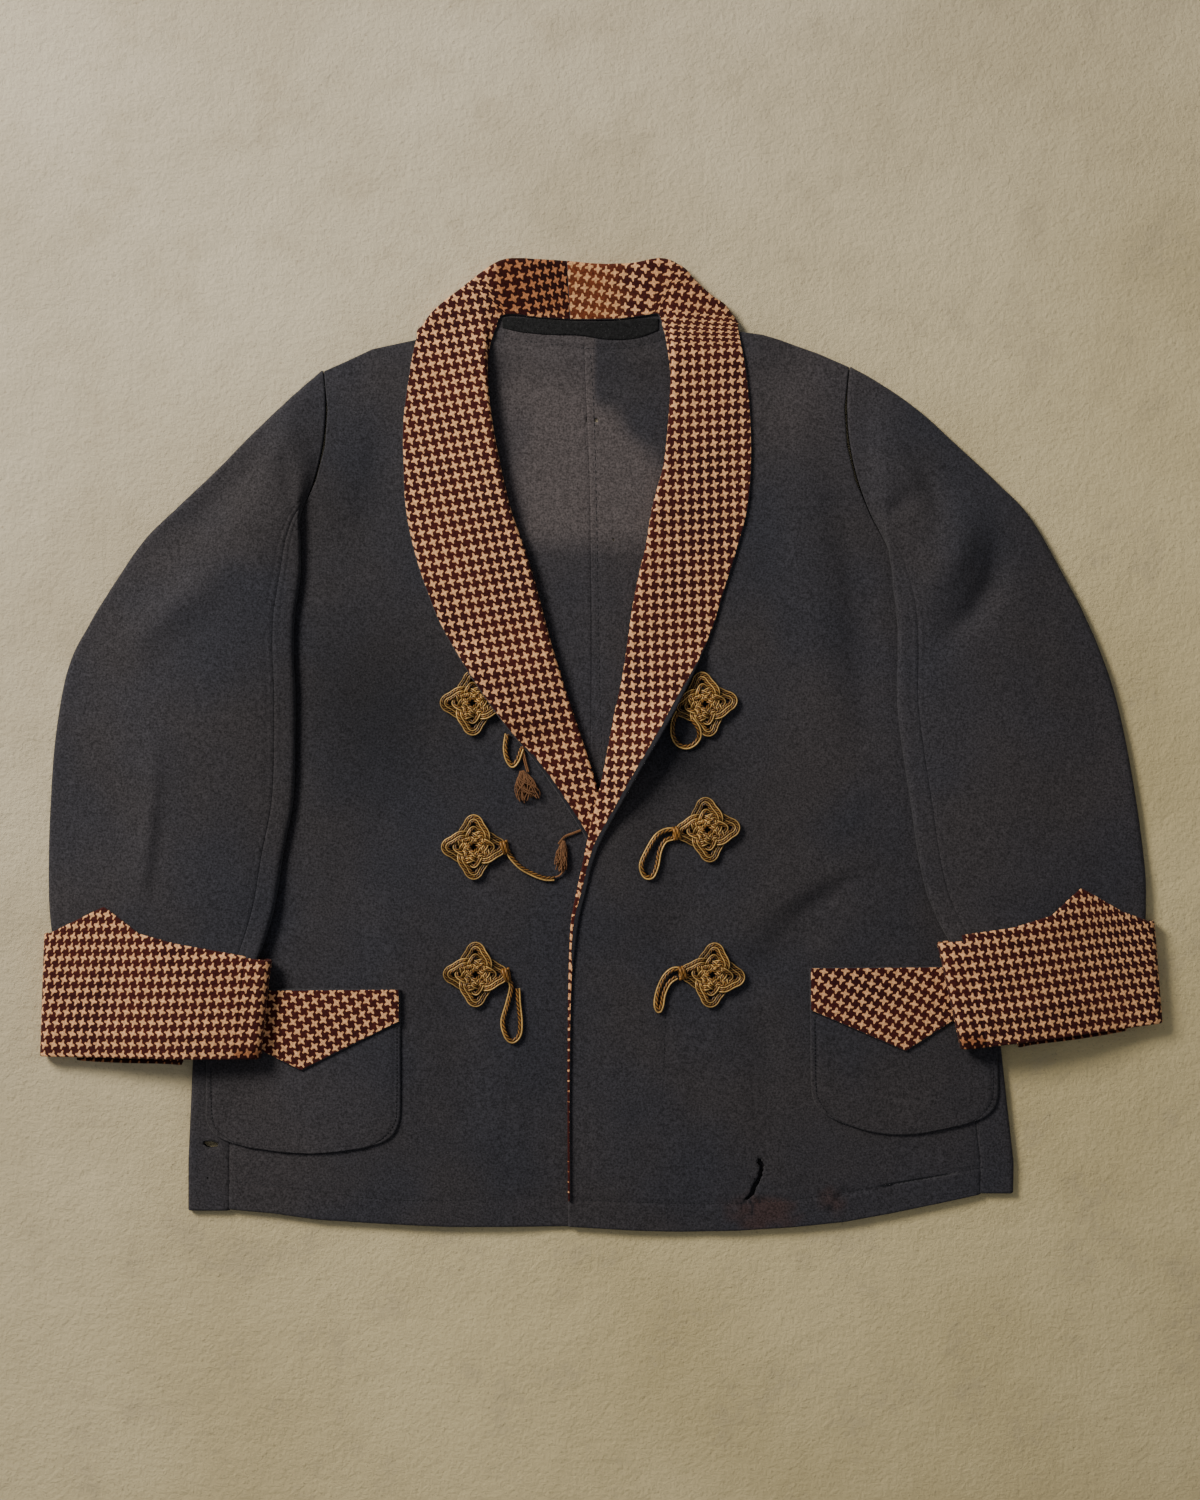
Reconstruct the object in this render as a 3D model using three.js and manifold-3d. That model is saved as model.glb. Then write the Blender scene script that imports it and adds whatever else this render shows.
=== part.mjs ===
// A wool smoking jacket laid flat on its back, fronts up, with a houndstooth shawl collar and cuffs.
// Millimetres, +Z up. X runs across the jacket and Y from hem to neck, seen from above.
// Sides are the wearer's: the right front, sleeve and pocket lie at -X, and the left front lies on top.
import * as THREE from "three";
import { mergeVertices } from "three/addons/utils/BufferGeometryUtils.js";
import Module from "manifold-3d";

const wasm = await Module();
wasm.setup();

// Driving sizes
const CLOTH = 2; // thickness of the felted wool
const GAP = 0.3; // clearance between pieces that touch
const LAYER = CLOTH + GAP;
const SEAM_GAP = 0.9; // between the fronts and the strips of back that wrap round to them
const REST_GAP = 0.8; // clearance under a sleeve that lies on the body
const BACK_SHORTER = 4; // the back hem lies this far above the front hem
const MIDDLE = { x: -1.3, y: -2.14 }; // middle of the whole outline, brought over the origin

// Colours and finishes
const wool = new THREE.MeshStandardMaterial({ color: 0x3a3f4a, roughness: 0.95 });
const check = new THREE.MeshStandardMaterial({ color: 0x8a4f3c, roughness: 0.9 });
const tape = new THREE.MeshStandardMaterial({ color: 0x14161b, roughness: 0.8 });
const gold = new THREE.MeshStandardMaterial({ color: 0x96732f, roughness: 0.45, metalness: 0.3 });

// Tables with named columns
function table(columns, rows) {
  return rows.map((row) => Object.fromEntries(columns.map((name, i) => [name, row[i]])));
}

// Smooth value of every column at a place from 0 (first row) to 1 (last row)
function rowAt(rows, place) {
  const at = THREE.MathUtils.clamp(place, 0, 1) * (rows.length - 1);
  const i = Math.min(Math.floor(at), rows.length - 2);
  const f = at - i;
  const near = [i - 1, i, i + 1, i + 2].map((k) => rows[THREE.MathUtils.clamp(k, 0, rows.length - 1)]);
  const row = {};
  for (const name of Object.keys(rows[0])) {
    const [a, b, c, d] = near.map((r) => r[name]);
    const slope = c - a;
    const bend = 2 * a - 5 * b + 4 * c - d;
    const twist = 3 * b - a - 3 * c + d;
    row[name] = 0.5 * (2 * b + slope * f + bend * f * f + twist * f * f * f);
  }
  return row;
}

// Value of a column where the key column has the given value, for a key that falls down the table
function valueAt(rows, key, wanted, name) {
  if (wanted >= rows[0][key]) return rows[0][name];
  for (let i = 1; i < rows.length; i++) {
    if (wanted < rows[i][key]) continue;
    const share = (wanted - rows[i][key]) / (rows[i - 1][key] - rows[i][key]);
    return THREE.MathUtils.lerp(rows[i][name], rows[i - 1][name], share);
  }
  return rows[rows.length - 1][name];
}

const smooth = (x, low, high) => THREE.MathUtils.smoothstep(x, low, high);
const mix = THREE.MathUtils.lerp;

// Distance from a point to a chain of points, and how far along the chain the nearest point lies
function chainDistance(x, y, chain) {
  let best = { distance: Infinity, along: 0 };
  for (let i = 1; i < chain.length; i++) {
    const [ax, ay] = chain[i - 1];
    const [bx, by] = chain[i];
    const length2 = (bx - ax) ** 2 + (by - ay) ** 2;
    const f = THREE.MathUtils.clamp(((x - ax) * (bx - ax) + (y - ay) * (by - ay)) / length2, 0, 1);
    const distance = Math.hypot(x - ax - f * (bx - ax), y - ay - f * (by - ay));
    if (distance < best.distance) best = { distance, along: (i - 1 + f) / (chain.length - 1) };
  }
  return best;
}

// Soft troughs and ridges: each runs along its points, deepest in the middle of its length
function foldHeight(x, y, folds) {
  let height = 0;
  for (const fold of folds) {
    const { distance, along } = chainDistance(x, y, fold.path);
    const taper = 0.35 + 0.65 * Math.sin(Math.PI * along);
    height += fold.height * taper * Math.exp(-((distance / fold.width) ** 2));
  }
  return height;
}

const BODY_FOLDS = [
  { path: [[-173, 266], [-187, 210], [-196, 148]], width: 17, height: -2.0 },
  { path: [[-236, 60], [-228, -30], [-232, -110]], width: 26, height: 1.8 },
  { path: [[-150, -120], [-158, -200], [-150, -300]], width: 40, height: 1.2 },
  { path: [[192, 251], [196, 189], [205, 128], [210, 65], [212, 10]], width: 15, height: -2.2 },
  { path: [[165, 270], [168, 180], [176, 80], [182, -10]], width: 24, height: 2.0 },
  { path: [[200, -124], [164, -147], [111, -200]], width: 15, height: -1.6 },
  { path: [[180, -100], [140, -130], [100, -165]], width: 18, height: 1.8 },
];

const SLEEVE_FOLDS = [
  { path: [[-280, 229], [-352, 158]], width: 16, height: -4 },
  { path: [[-384, 76], [-311, 138]], width: 16, height: 4 },
  { path: [[-361, 0], [-365, -71], [-374, -132]], width: 12, height: 2 },
  { path: [[-247, 286], [-269, 221]], width: 13, height: 3 },
  { path: [[-259, 233], [-248, 192]], width: 9, height: -3 },
  { path: [[216, 293], [210, 245], [214, 218]], width: 9, height: -2.5 },
  { path: [[222, 181], [252, 198]], width: 9, height: -2.5 },
  { path: [[252, 233], [268, 202], [272, 185]], width: 9, height: -3 },
  { path: [[320, 158], [315, 128], [301, 107], [272, 82]], width: 12, height: -4.5 },
  { path: [[300, 190], [285, 150], [262, 118]], width: 16, height: 4.5 },
];

// Side edges of the body and the armholes above them, with the strip of back that wraps to the front
const BODY_EDGES = table(["y", "right", "rightWrap", "left", "leftWrap"], [
  [304, -225.8, 0, 199.8, 0],
  [270.4, -222.4, 0, 196, 0],
  [240.7, -224.5, 0, 198, 0],
  [211.9, -232.1, 0, 205, 0],
  [184, -245, 0, 217, 0],
  [163, -253, 0, 228.5, 0],
  [136, -268, 0, 246, 0],
  [111, -293, 0, 275, 0],
  [90, -296, 8, 279, 8],
  [34, -303, 20, 290, 16],
  [-47, -313, 26, 299, 20],
  [-128, -321, 29, 309, 23],
  [-209, -328, 31, 319, 25],
  [-260, -332, 32, 324, 25],
  [-306, -334, 32, 329, 26],
  [-341, -335.5, 32.5, 333, 26],
  [-396, -335.5, 32.5, 332, 26],
]);

// Way from the middle of the jacket to each side
const OUTWARD = { right: -1, left: 1 };
const edgeX = (side, y) => valueAt(BODY_EDGES, "y", y, side);
const wrapWidth = (side, y) => valueAt(BODY_EDGES, "y", y, side + "Wrap");
const seamX = (side, y) => edgeX(side, y) - OUTWARD[side] * wrapWidth(side, y);

// Gap between a front and the back's strip: wider where the sleeve hides it, most of all below the armhole
function hiddenSeamGap(y) {
  const underSleeve = 1.6 * smooth(y, -40, 40);
  const belowArmhole = 2.5 * smooth(y, 70, 105) * (1 - smooth(y, 118, 140));
  return SEAM_GAP + underSleeve + belowArmhole;
}

// Shoulder line and front hem from the wearer's left to right
const SHOULDER_LINE = table(["x", "y"], [
  [200, 304], [175, 315], [144, 326], [130, 330], [108, 333], [90, 336], [75, 341], [58, 348], [45, 351],
  [-80, 351], [-94, 346], [-112, 337], [-130, 330], [-148, 326.5], [-162, 323.5], [-187, 318.5],
  [-208, 308.5], [-226, 300.5],
]);
const HEM_LINE = table(["x", "y"], [
  [332, -364], [306, -366], [273, -373], [234, -381], [195, -388], [156, -392], [110, -395], [66, -396],
  [27, -395], [-27, -392], [-126, -392], [-185, -389], [-232, -386], [-268, -381], [-303, -378], [-336, -379],
]);
const shoulderY = (x) => valueAt(SHOULDER_LINE, "x", x, "y");
const hemY = (x) => valueAt(HEM_LINE, "x", x, "y");

// Front edge of the under front, which the upper front hides, from top to bottom
const HIDDEN_EDGE = table(["y", "x"], [
  [-40, -6],
  [-75, 4],
  [-120, 17],
  [-160, 27],
  [-230, 33],
  [-396, 34],
]);

// The end of the under lapel that the upper front lies on, and the frogs that the lapels lie on
const HIDDEN_LAPEL = [[-12, -46], [12, -116]];
const LAPEL_FROGS = [[-105, 32], [83, 31]];
const FROG_HEIGHT = 7;

// Height that the back is lifted by the collar that is folded under it at the neck
function neckLift(x, y) {
  const NECK_X = -18;
  return LAYER * smooth(y, 290, 314) * (1 - smooth(Math.abs(x - NECK_X), 140, 178));
}

// Underside of the fronts above the floor, without the lift where one front lies on the other
function frontUnder(x, y) {
  const side = x < -15 ? "right" : "left";
  const inside = Math.abs(x - edgeX(side, y));
  const folds = foldHeight(x, y, BODY_FOLDS) * smooth(inside, 0, 45);
  const towardShoulder = 1 - 0.85 * smooth(y, 275, 335);
  const towardMiddle = 1 - 0.8 * (1 - smooth(Math.abs(x - 5), 20, 110));
  const loft = 2 + 1.5 * smooth(inside, 10, 120) + folds;
  return neckLift(x, y) + LAYER + Math.max(0.3, loft * towardShoulder * towardMiddle);
}

// Underside of the left front, lifted over the right front and over the end of its lapel
function leftFrontUnder(x, y) {
  const edge = valueAt(HIDDEN_EDGE, "y", y, "x");
  const overFront = (1 - smooth(x, edge + 6, edge + 50)) * (1 - smooth(y, -25, 45));
  const { distance } = chainDistance(x, y, HIDDEN_LAPEL);
  const overLapel = 1 - smooth(distance, 17, 65);
  return frontUnder(x, y) + (LAYER + 0.2) * overFront + (LAYER + 1.5) * overLapel;
}

const underOf = (side, x, y) => (side === "right" ? frontUnder(x, y) : leftFrontUnder(x, y));
const topOf = (side, x, y) => underOf(side, x, y) + CLOTH;

// Point of a section's path, in space
const point = (x, y, z) => new THREE.Vector3(x, y, z);

// A path with its corners rounded off
function rounded(path, passes) {
  let points = path;
  for (let pass = 0; pass < passes; pass++) {
    const next = [points[0]];
    for (let i = 1; i < points.length; i++) {
      next.push(points[i - 1].clone().lerp(points[i], 0.25), points[i - 1].clone().lerp(points[i], 0.75));
    }
    next.push(points[points.length - 1]);
    points = next;
  }
  return points;
}

// The same path with evenly spaced points
function evenly(path, count) {
  const lengths = [0];
  for (let i = 1; i < path.length; i++) lengths.push(lengths[i - 1] + path[i].distanceTo(path[i - 1]));
  const total = lengths[lengths.length - 1];
  const points = [];
  let k = 1;
  for (let i = 0; i < count; i++) {
    const wanted = (total * i) / (count - 1);
    while (k < path.length - 1 && lengths[k] < wanted) k++;
    const span = lengths[k] - lengths[k - 1] || 1;
    const share = THREE.MathUtils.clamp((wanted - lengths[k - 1]) / span, 0, 1);
    points.push(path[k - 1].clone().lerp(path[k], share));
  }
  return points;
}

// A closed wall round a grid of middle points, half its thickness to either side and never below the floor
function wallAlong(grid, thickness = CLOTH) {
  const rows = grid.length;
  const columns = grid[0].length;
  const faces = [[], []];
  for (let i = 0; i < rows; i++) {
    for (let j = 0; j < columns; j++) {
      const across = grid[i][Math.min(j + 1, columns - 1)].clone().sub(grid[i][Math.max(j - 1, 0)]);
      const down = grid[Math.min(i + 1, rows - 1)][j].clone().sub(grid[Math.max(i - 1, 0)][j]);
      const normal = across.cross(down).normalize().multiplyScalar(thickness / 2);
      faces[0].push(grid[i][j].clone().add(normal));
      faces[1].push(grid[i][j].clone().sub(normal));
    }
  }
  for (const p of faces.flat()) p.z = Math.max(p.z, 0);
  return closedShell(faces[0], faces[1], rows, columns);
}

// Two facing grids joined round their edges
function closedShell(first, second, rows, columns) {
  const size = rows * columns;
  const triangles = [];
  const quad = (a, b, c, d) => triangles.push(a, b, c, a, c, d);
  const at = (i, j) => i * columns + j;
  for (let i = 0; i + 1 < rows; i++) {
    for (let j = 0; j + 1 < columns; j++) {
      quad(at(i, j), at(i, j + 1), at(i + 1, j + 1), at(i + 1, j));
      quad(size + at(i, j), size + at(i + 1, j), size + at(i + 1, j + 1), size + at(i, j + 1));
    }
  }
  const rim = [];
  for (let j = 0; j < columns - 1; j++) rim.push(at(0, j));
  for (let i = 0; i < rows - 1; i++) rim.push(at(i, columns - 1));
  for (let j = columns - 1; j > 0; j--) rim.push(at(rows - 1, j));
  for (let i = rows - 1; i > 0; i--) rim.push(at(i, 0));
  rim.forEach((a, k) => {
    const b = rim[(k + 1) % rim.length];
    quad(b, a, size + a, size + b);
  });
  const corners = [...first, ...second].flatMap((p) => [p.x, p.y, p.z]);
  return facingOut(corners, triangles);
}

// Geometry from corners and triangles, turned so that its faces point out
function facingOut(corners, triangles) {
  const corner = (i) => new THREE.Vector3().fromArray(corners, 3 * i);
  let volume = 0;
  for (let i = 0; i < triangles.length; i += 3) {
    const [a, b, c] = [corner(triangles[i]), corner(triangles[i + 1]), corner(triangles[i + 2])];
    volume += a.dot(b.cross(c));
  }
  const turned = [...triangles];
  for (let i = 0; volume < 0 && i < turned.length; i += 3) {
    [turned[i + 1], turned[i + 2]] = [turned[i + 2], turned[i + 1]];
  }
  const geometry = new THREE.BufferGeometry();
  geometry.setAttribute("position", new THREE.Float32BufferAttribute(corners, 3));
  geometry.setIndex(turned);
  geometry.computeVertexNormals();
  return geometry;
}

const jacket = new THREE.Group();
jacket.position.set(-MIDDLE.x, -MIDDLE.y, 0);

function addPiece(name, geometry, material) {
  const mesh = new THREE.Mesh(geometry, material);
  mesh.name = name;
  jacket.add(mesh);
}

// Cutting with manifold-3d
function asSolid(geometry) {
  const bare = geometry.clone();
  bare.deleteAttribute("normal");
  bare.deleteAttribute("uv");
  const merged = mergeVertices(bare, 1e-4);
  return new wasm.Manifold(new wasm.Mesh({
    numProp: 3,
    vertProperties: merged.attributes.position.array,
    triVerts: new Uint32Array(merged.index.array),
  }));
}

function asGeometry(solid) {
  const cut = solid.getMesh();
  const geometry = new THREE.BufferGeometry();
  geometry.setAttribute("position", new THREE.Float32BufferAttribute(cut.vertProperties, 3));
  geometry.setIndex(Array.from(cut.triVerts));
  geometry.computeVertexNormals();
  return geometry;
}

// A worn hole or rip, cut straight down through the upper layer only
function cutRip(geometry, outline) {
  const CUT_FROM = 2.15;
  const shape = new THREE.Shape(outline.map(([x, y]) => new THREE.Vector2(x, y)));
  const cutter = new THREE.ExtrudeGeometry(shape, { depth: 30, bevelEnabled: false, steps: 1 });
  cutter.translate(0, 0, CUT_FROM);
  return asGeometry(asSolid(geometry).subtract(asSolid(cutter)));
}

// How far a curved line lies above the straight one between two points, at one x
function bulge(line, from, to, x) {
  const share = (x - from.x) / (to.x - from.x);
  return line(x) - mix(from.y, to.y, THREE.MathUtils.clamp(share, 0, 1));
}

// A body panel's point: straight across between its two edges, with the hem and shoulder lines put in
function panelPoint(ends, across, up, hemLine, panel) {
  const x = mix(ends[0].x, ends[1].x, across);
  const straight = mix(ends[0].y, ends[1].y, across);
  const hem = bulge(hemLine, ...panel(0), x) * (1 - up) ** 6;
  const shoulder = bulge(shoulderY, ...panel(1), x) * up ** 8;
  return { x, y: straight + hem + shoulder };
}

// Outlines of the two worn places that go right through the cloth
const HIP_HOLE = [
  [-322.5, -324], [-317, -323.5], [-312.5, -325.5], [-313, -328.5], [-319, -328.8], [-323, -327],
];
const HEM_TEAR = [
  [127, -337], [129.5, -337.5], [131, -343], [130.5, -351], [127, -359], [123.5, -366], [117, -371],
  [114.5, -370], [119, -364.5], [122.5, -357], [126, -350], [127.5, -343],
];

// Centre back seam and side edge of the back, from hem to shoulder
const BACK_ROWS = table(["centreX", "centreY", "edgeY"], [
  [-15, -388, -379],
  [-15, -320, -310],
  [-13.5, -240, -230],
  [-12, -160, -150],
  [-10.5, -80, -70],
  [-9.5, 0, 10],
  [-9, 70, 80],
  [-9, 115, 111],
  [-9.5, 150, 150],
  [-10, 195, 190],
  [-11.5, 245, 235],
  [-14, 300, 275],
  [-15, 351, 301],
]);

function backEnds(side, up) {
  const row = rowAt(BACK_ROWS, up);
  const edgeY = row.edgeY + (side === "left" ? 14 * (1 - smooth(up, 0, 0.1)) : 0);
  return [
    { x: row.centreX + OUTWARD[side] * GAP, y: row.centreY },
    { x: edgeX(side, edgeY), y: edgeY },
  ];
}

// Half of the back: flat from the centre seam to the side, then round the fold to the seam on the front
function backHalf(side) {
  const ROWS = 17;
  const FLAT_STEPS = 4;
  const FOLD_STEPS = 5;
  const FOLD_WIDTH = 5;
  const grid = [];
  for (let i = 0; i < ROWS; i++) {
    const up = i / (ROWS - 1);
    const ends = backEnds(side, up);
    const [centre, edge] = ends;
    const hemLine = (x) => hemY(x) + BACK_SHORTER * smooth(Math.abs(x - edge.x), 0, 40);
    const line = [];
    const turn = 1 - FOLD_WIDTH / Math.abs(edge.x - centre.x);
    for (let j = 0; j <= FLAT_STEPS; j++) {
      const { x, y } = panelPoint(ends, (turn * j) / FLAT_STEPS, up, hemLine, (at) => backEnds(side, at));
      line.push(point(x, y, neckLift(x, y) + CLOTH / 2));
    }
    const wrap = wrapWidth(side, edge.y);
    const low = point(edge.x, edge.y, neckLift(edge.x, edge.y) + CLOTH / 2);
    const fold = [line.pop(), low];
    if (wrap > 0.5) {
      const seam = seamX(side, edge.y);
      const high = (x) => point(x, edge.y, frontUnder(x, edge.y) + CLOTH / 2);
      fold.push(high(edge.x), high(mix(edge.x, seam, Math.min(0.4, 4 / wrap))), high(seam));
    }
    grid.push([...line, ...evenly(rounded(fold, 2), FOLD_STEPS + 1)]);
  }
  return wallAlong(grid);
}

// Inner edge of each front, from hem to shoulder: hidden edge or front edge, then just behind the roll line
const RIGHT_FRONT_ROWS = table(["innerX", "innerY", "outerY"], [
  [34, -391, -378],
  [34, -310, -300],
  [33, -230, -215],
  [27, -160, -130],
  [9, -95, -50],
  [-13, -20, 34],
  [-47, 78, 90],
  [-55, 108, 111],
  [-65, 144, 136],
  [-77, 185, 163],
  [-88, 225, 195],
  [-94.5, 263, 230],
  [-97.5, 300, 262],
  [-98, 348, 301],
]);
const LEFT_FRONT_ROWS = table(["innerX", "innerY", "outerY"], [
  [-27, -392, -366],
  [-27.5, -310, -300],
  [-26.5, -230, -215],
  [-22.5, -158, -140],
  [-11.5, -95, -70],
  [4, -35, 10],
  [20, 40, 60],
  [25, 78, 90],
  [29, 108, 111],
  [35, 144, 136],
  [43, 180, 163],
  [53, 220, 200],
  [58.5, 265, 237],
  [60, 305, 268],
  [60, 348, 303],
]);

const FRONT_ROWS = { right: RIGHT_FRONT_ROWS, left: LEFT_FRONT_ROWS };

function frontEnds(side, up) {
  const ROLL_INSET = 1.2;
  const row = rowAt(FRONT_ROWS[side], up);
  return [
    { x: row.innerX + OUTWARD[side] * ROLL_INSET * smooth(row.innerY, -170, -120), y: row.innerY },
    { x: seamX(side, row.outerY) - OUTWARD[side] * hiddenSeamGap(row.outerY), y: row.outerY },
  ];
}

// One front, from its front edge and roll line to the side seam and armhole
function front(side) {
  const ROWS = 21;
  const COLUMNS = 10;
  const grid = [];
  for (let i = 0; i < ROWS; i++) {
    const up = i / (ROWS - 1);
    const ends = frontEnds(side, up);
    const line = [];
    for (let j = 0; j < COLUMNS; j++) {
      const { x, y } = panelPoint(ends, j / (COLUMNS - 1), up, hemY, (at) => frontEnds(side, at));
      line.push(point(x, y, underOf(side, x, y) + CLOTH / 2));
    }
    grid.push(line);
  }
  return wallAlong(grid);
}

// Patch pockets with rounded lower corners, and the pointed trims on them: edges from top to bottom
const POCKET_ROWS = {
  right: table(["insideX", "outsideX", "y", "dip"], [
    [-164, -318, -200, 0],
    [-164, -320, -250, 0],
    [-164, -320.5, -290, 0],
    [-165, -320, -306, -1],
    [-171, -312, -318, -4],
    [-184, -296, -325, -6],
    [-206, -272, -329, -3],
  ]),
  left: table(["insideX", "outsideX", "y", "dip"], [
    [168, 316, -183, 0],
    [169, 318.5, -235, 0],
    [169.5, 320, -276, 0],
    [172, 319, -290, -3],
    [179, 314, -299, -6],
    [191, 302, -306, -8],
    [212, 270, -313, -4],
  ]),
};
const POCKET_BASE = GAP;

function pocket(side) {
  const ROWS = 9;
  const COLUMNS = 8;
  const grid = [];
  for (let i = 0; i < ROWS; i++) {
    const row = rowAt(POCKET_ROWS[side], i / (ROWS - 1));
    const line = [];
    for (let j = 0; j < COLUMNS; j++) {
      const across = j / (COLUMNS - 1);
      const x = mix(row.insideX, row.outsideX, across);
      const y = row.y + row.dip * 4 * across * (1 - across);
      line.push(point(x, y, topOf(side, x, y) + POCKET_BASE + CLOTH / 2));
    }
    grid.push(line);
  }
  return wallAlong(grid);
}

// Lower edge of each trim from the inside corner to the outside one: down to a point and up again
const TRIM_EDGE = {
  right: table(["x", "top", "bottom"], [
    [-164.5, -199.5, -225],
    [-204, -200, -244.5],
    [-243.5, -200.5, -264.5],
    [-280, -200.5, -247],
    [-317.5, -200.5, -225],
  ]),
  left: table(["x", "top", "bottom"], [
    [168.5, -182.5, -216],
    [207, -182.2, -232.5],
    [245, -182, -249],
    [281, -181.7, -226],
    [315.5, -181.5, -205],
  ]),
};

function trim(side) {
  const HALF_STEPS = 4;
  const DEEP_STEPS = 3;
  const corners = TRIM_EDGE[side];
  const grid = [];
  for (let i = 0; i <= 2 * HALF_STEPS; i++) {
    const at = (i / (2 * HALF_STEPS)) * (corners.length - 1);
    const k = Math.min(Math.floor(at), corners.length - 2);
    const edge = {};
    for (const name of ["x", "top", "bottom"]) {
      edge[name] = mix(corners[k][name], corners[k + 1][name], at - k);
    }
    const line = [];
    for (let j = 0; j <= DEEP_STEPS; j++) {
      const y = mix(edge.top, edge.bottom, j / DEEP_STEPS);
      line.push(point(edge.x, y, topOf(side, edge.x, y) + POCKET_BASE + CLOTH + GAP + CLOTH / 2));
    }
    grid.push(line);
  }
  return wallAlong(grid);
}

addPiece("back_right", cutRip(backHalf("right"), HIP_HOLE), wool);
addPiece("back_left", backHalf("left"), wool);
addPiece("front_right", front("right"), wool);
addPiece("front_left", cutRip(front("left"), HEM_TEAR), wool);
for (const side of ["right", "left"]) {
  addPiece("pocket_" + side, pocket(side), wool);
  addPiece("pocket_trim_" + side, trim(side), check);
}

// Height of what a sleeve lies on: the floor, or the body with its pocket and trim
const POCKET_TOP = { right: -200, left: -183 };
const ARMHOLE_END = { right: 184, left: 163 };
function support(side, x, y) {
  const outside = (x - edgeX(side, y)) * OUTWARD[side];
  const onX = outside > 0 ? edgeX(side, y) : x;
  const abovePocket = smooth(y, POCKET_TOP[side] + 4, POCKET_TOP[side] + 44);
  const onPocket = (1 - abovePocket) * (1 - smooth(Math.abs(x), 334, 350));
  const body = topOf(side, onX, y) + REST_GAP + (2 * LAYER + GAP) * onPocket;
  const reach = 1 - smooth(outside, 8, 36);
  const belowArmhole = 1 - smooth(y, ARMHOLE_END[side] + 6, ARMHOLE_END[side] + 20);
  return body * reach * belowArmhole;
}

// Folded outer edge, folded inner edge and bow of each sleeve, from the armhole to its end in the cuff
const SLEEVE_ROWS = {
  right: table(["outerX", "outerY", "innerX", "innerY", "bow", "crown", "cuff"], [
    [-227.4, 301.5, -247.5, 182.5, 9.5, 0, 0],
    [-253, 279, -247.5, 174.5, 7, 3, 0],
    [-283, 250.5, -245.5, 166, 5, 5, 0],
    [-313, 220, -245, 153, 3, 6, 0],
    [-343, 191.5, -245, 138, 1, 7, 0],
    [-371, 164, -247, 121, 0, 7.5, 0],
    [-396.5, 127, -250, 99, 0, 7.5, 0],
    [-415.5, 96, -250.5, 71, 0, 7.5, 0],
    [-433, 60, -249, 40, 0, 7.5, 0],
    [-443, 5, -249, -9, 0, 7.5, 0],
    [-447, -46, -251, -50, 0, 7.5, 0],
    [-448.5, -90, -259, -91, 0, 7.5, 0],
    [-448, -128, -267, -138, 0, 7, 0.5],
    [-443.5, -172, -284, -192, 0, 4, 1],
  ]),
  left: table(["outerX", "outerY", "innerX", "innerY", "bow", "crown", "cuff"], [
    [201.6, 304.5, 231.5, 161, 13, 0, 0],
    [227, 289.5, 233, 155, 9, 3, 0],
    [256, 269, 233.5, 148, 7, 5, 0],
    [287, 241, 235, 138, 4, 6, 0],
    [318, 212, 236, 125, 2, 7, 0],
    [346, 183, 238, 110, 0, 7.5, 0],
    [371, 140, 239.5, 90, 0, 7.5, 0],
    [392, 100, 239.5, 66, 0, 7.5, 0],
    [410.5, 54, 239, 33, 0, 7.5, 0],
    [422.5, 8, 243, -3, 0, 7.5, 0],
    [432, -44, 250, -48, 0, 7.5, 0],
    [438, -88, 257.5, -98, 0, 7.5, 0],
    [440, -120, 267.5, -134, 0, 6.5, 0.5],
    [438.5, -162, 291.5, -180, 0, 3.5, 1],
  ]),
};
const SLEEVE_EDGE = 2.7; // radius of a sleeve's folded edges, to the middle of the cloth
const TOP_SEAM_INSET = 16; // the seam on top lies this far from the inner edge
const HIND_SEAM_INSET = 24; // the seam underneath lies this far from the outer edge

// Middle of the cloth right round a sleeve or cuff at one section, started at the seam on top
function tubeSection(side, row, spread, lift, atArmhole) {
  const outer = new THREE.Vector2(row.outerX, row.outerY);
  const inner = new THREE.Vector2(row.innerX, row.innerY);
  const across = inner.clone().sub(outer);
  const width = across.length();
  across.normalize();
  const bowWay = new THREE.Vector2(-across.y, across.x);
  if (bowWay.x * OUTWARD[side] > 0) bowWay.negate();
  const place = (a) => {
    const f = THREE.MathUtils.clamp(a / width, 0, 1);
    return outer.clone().addScaledVector(across, a).addScaledVector(bowWay, 4 * row.bow * f * (1 - f));
  };
  const heldOuter = support(side, outer.x, outer.y);
  const heldInner = support(side, inner.x, inner.y);
  const joined = (p) => topOf(side, p.x, p.y) - CLOTH / 2;
  const low = (a) => {
    const p = place(a);
    const resting = support(side, p.x, p.y) + CLOTH / 2 + lift;
    return mix(resting, Math.min(resting, joined(p) - LAYER - GAP), atArmhole);
  };
  const high = (a) => {
    const p = place(a);
    const f = THREE.MathUtils.clamp(a / width, 0, 1);
    const swell = row.crown * Math.sin(Math.PI * f) ** 1.3;
    const folds = foldHeight(p.x, p.y, SLEEVE_FOLDS) * Math.sin(Math.PI * f) ** 0.5;
    const held = mix(heldOuter, heldInner, smooth(f, 0.1, 0.95));
    const loose = held + CLOTH / 2 + (LAYER + 1) * row.cuff + 2 * SLEEVE_EDGE + swell + folds + spread;
    return mix(loose, joined(p), atArmhole);
  };
  return { width, place, low, high, seamGap: SEAM_GAP * (1 + 2.6 * atArmhole) };
}

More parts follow.
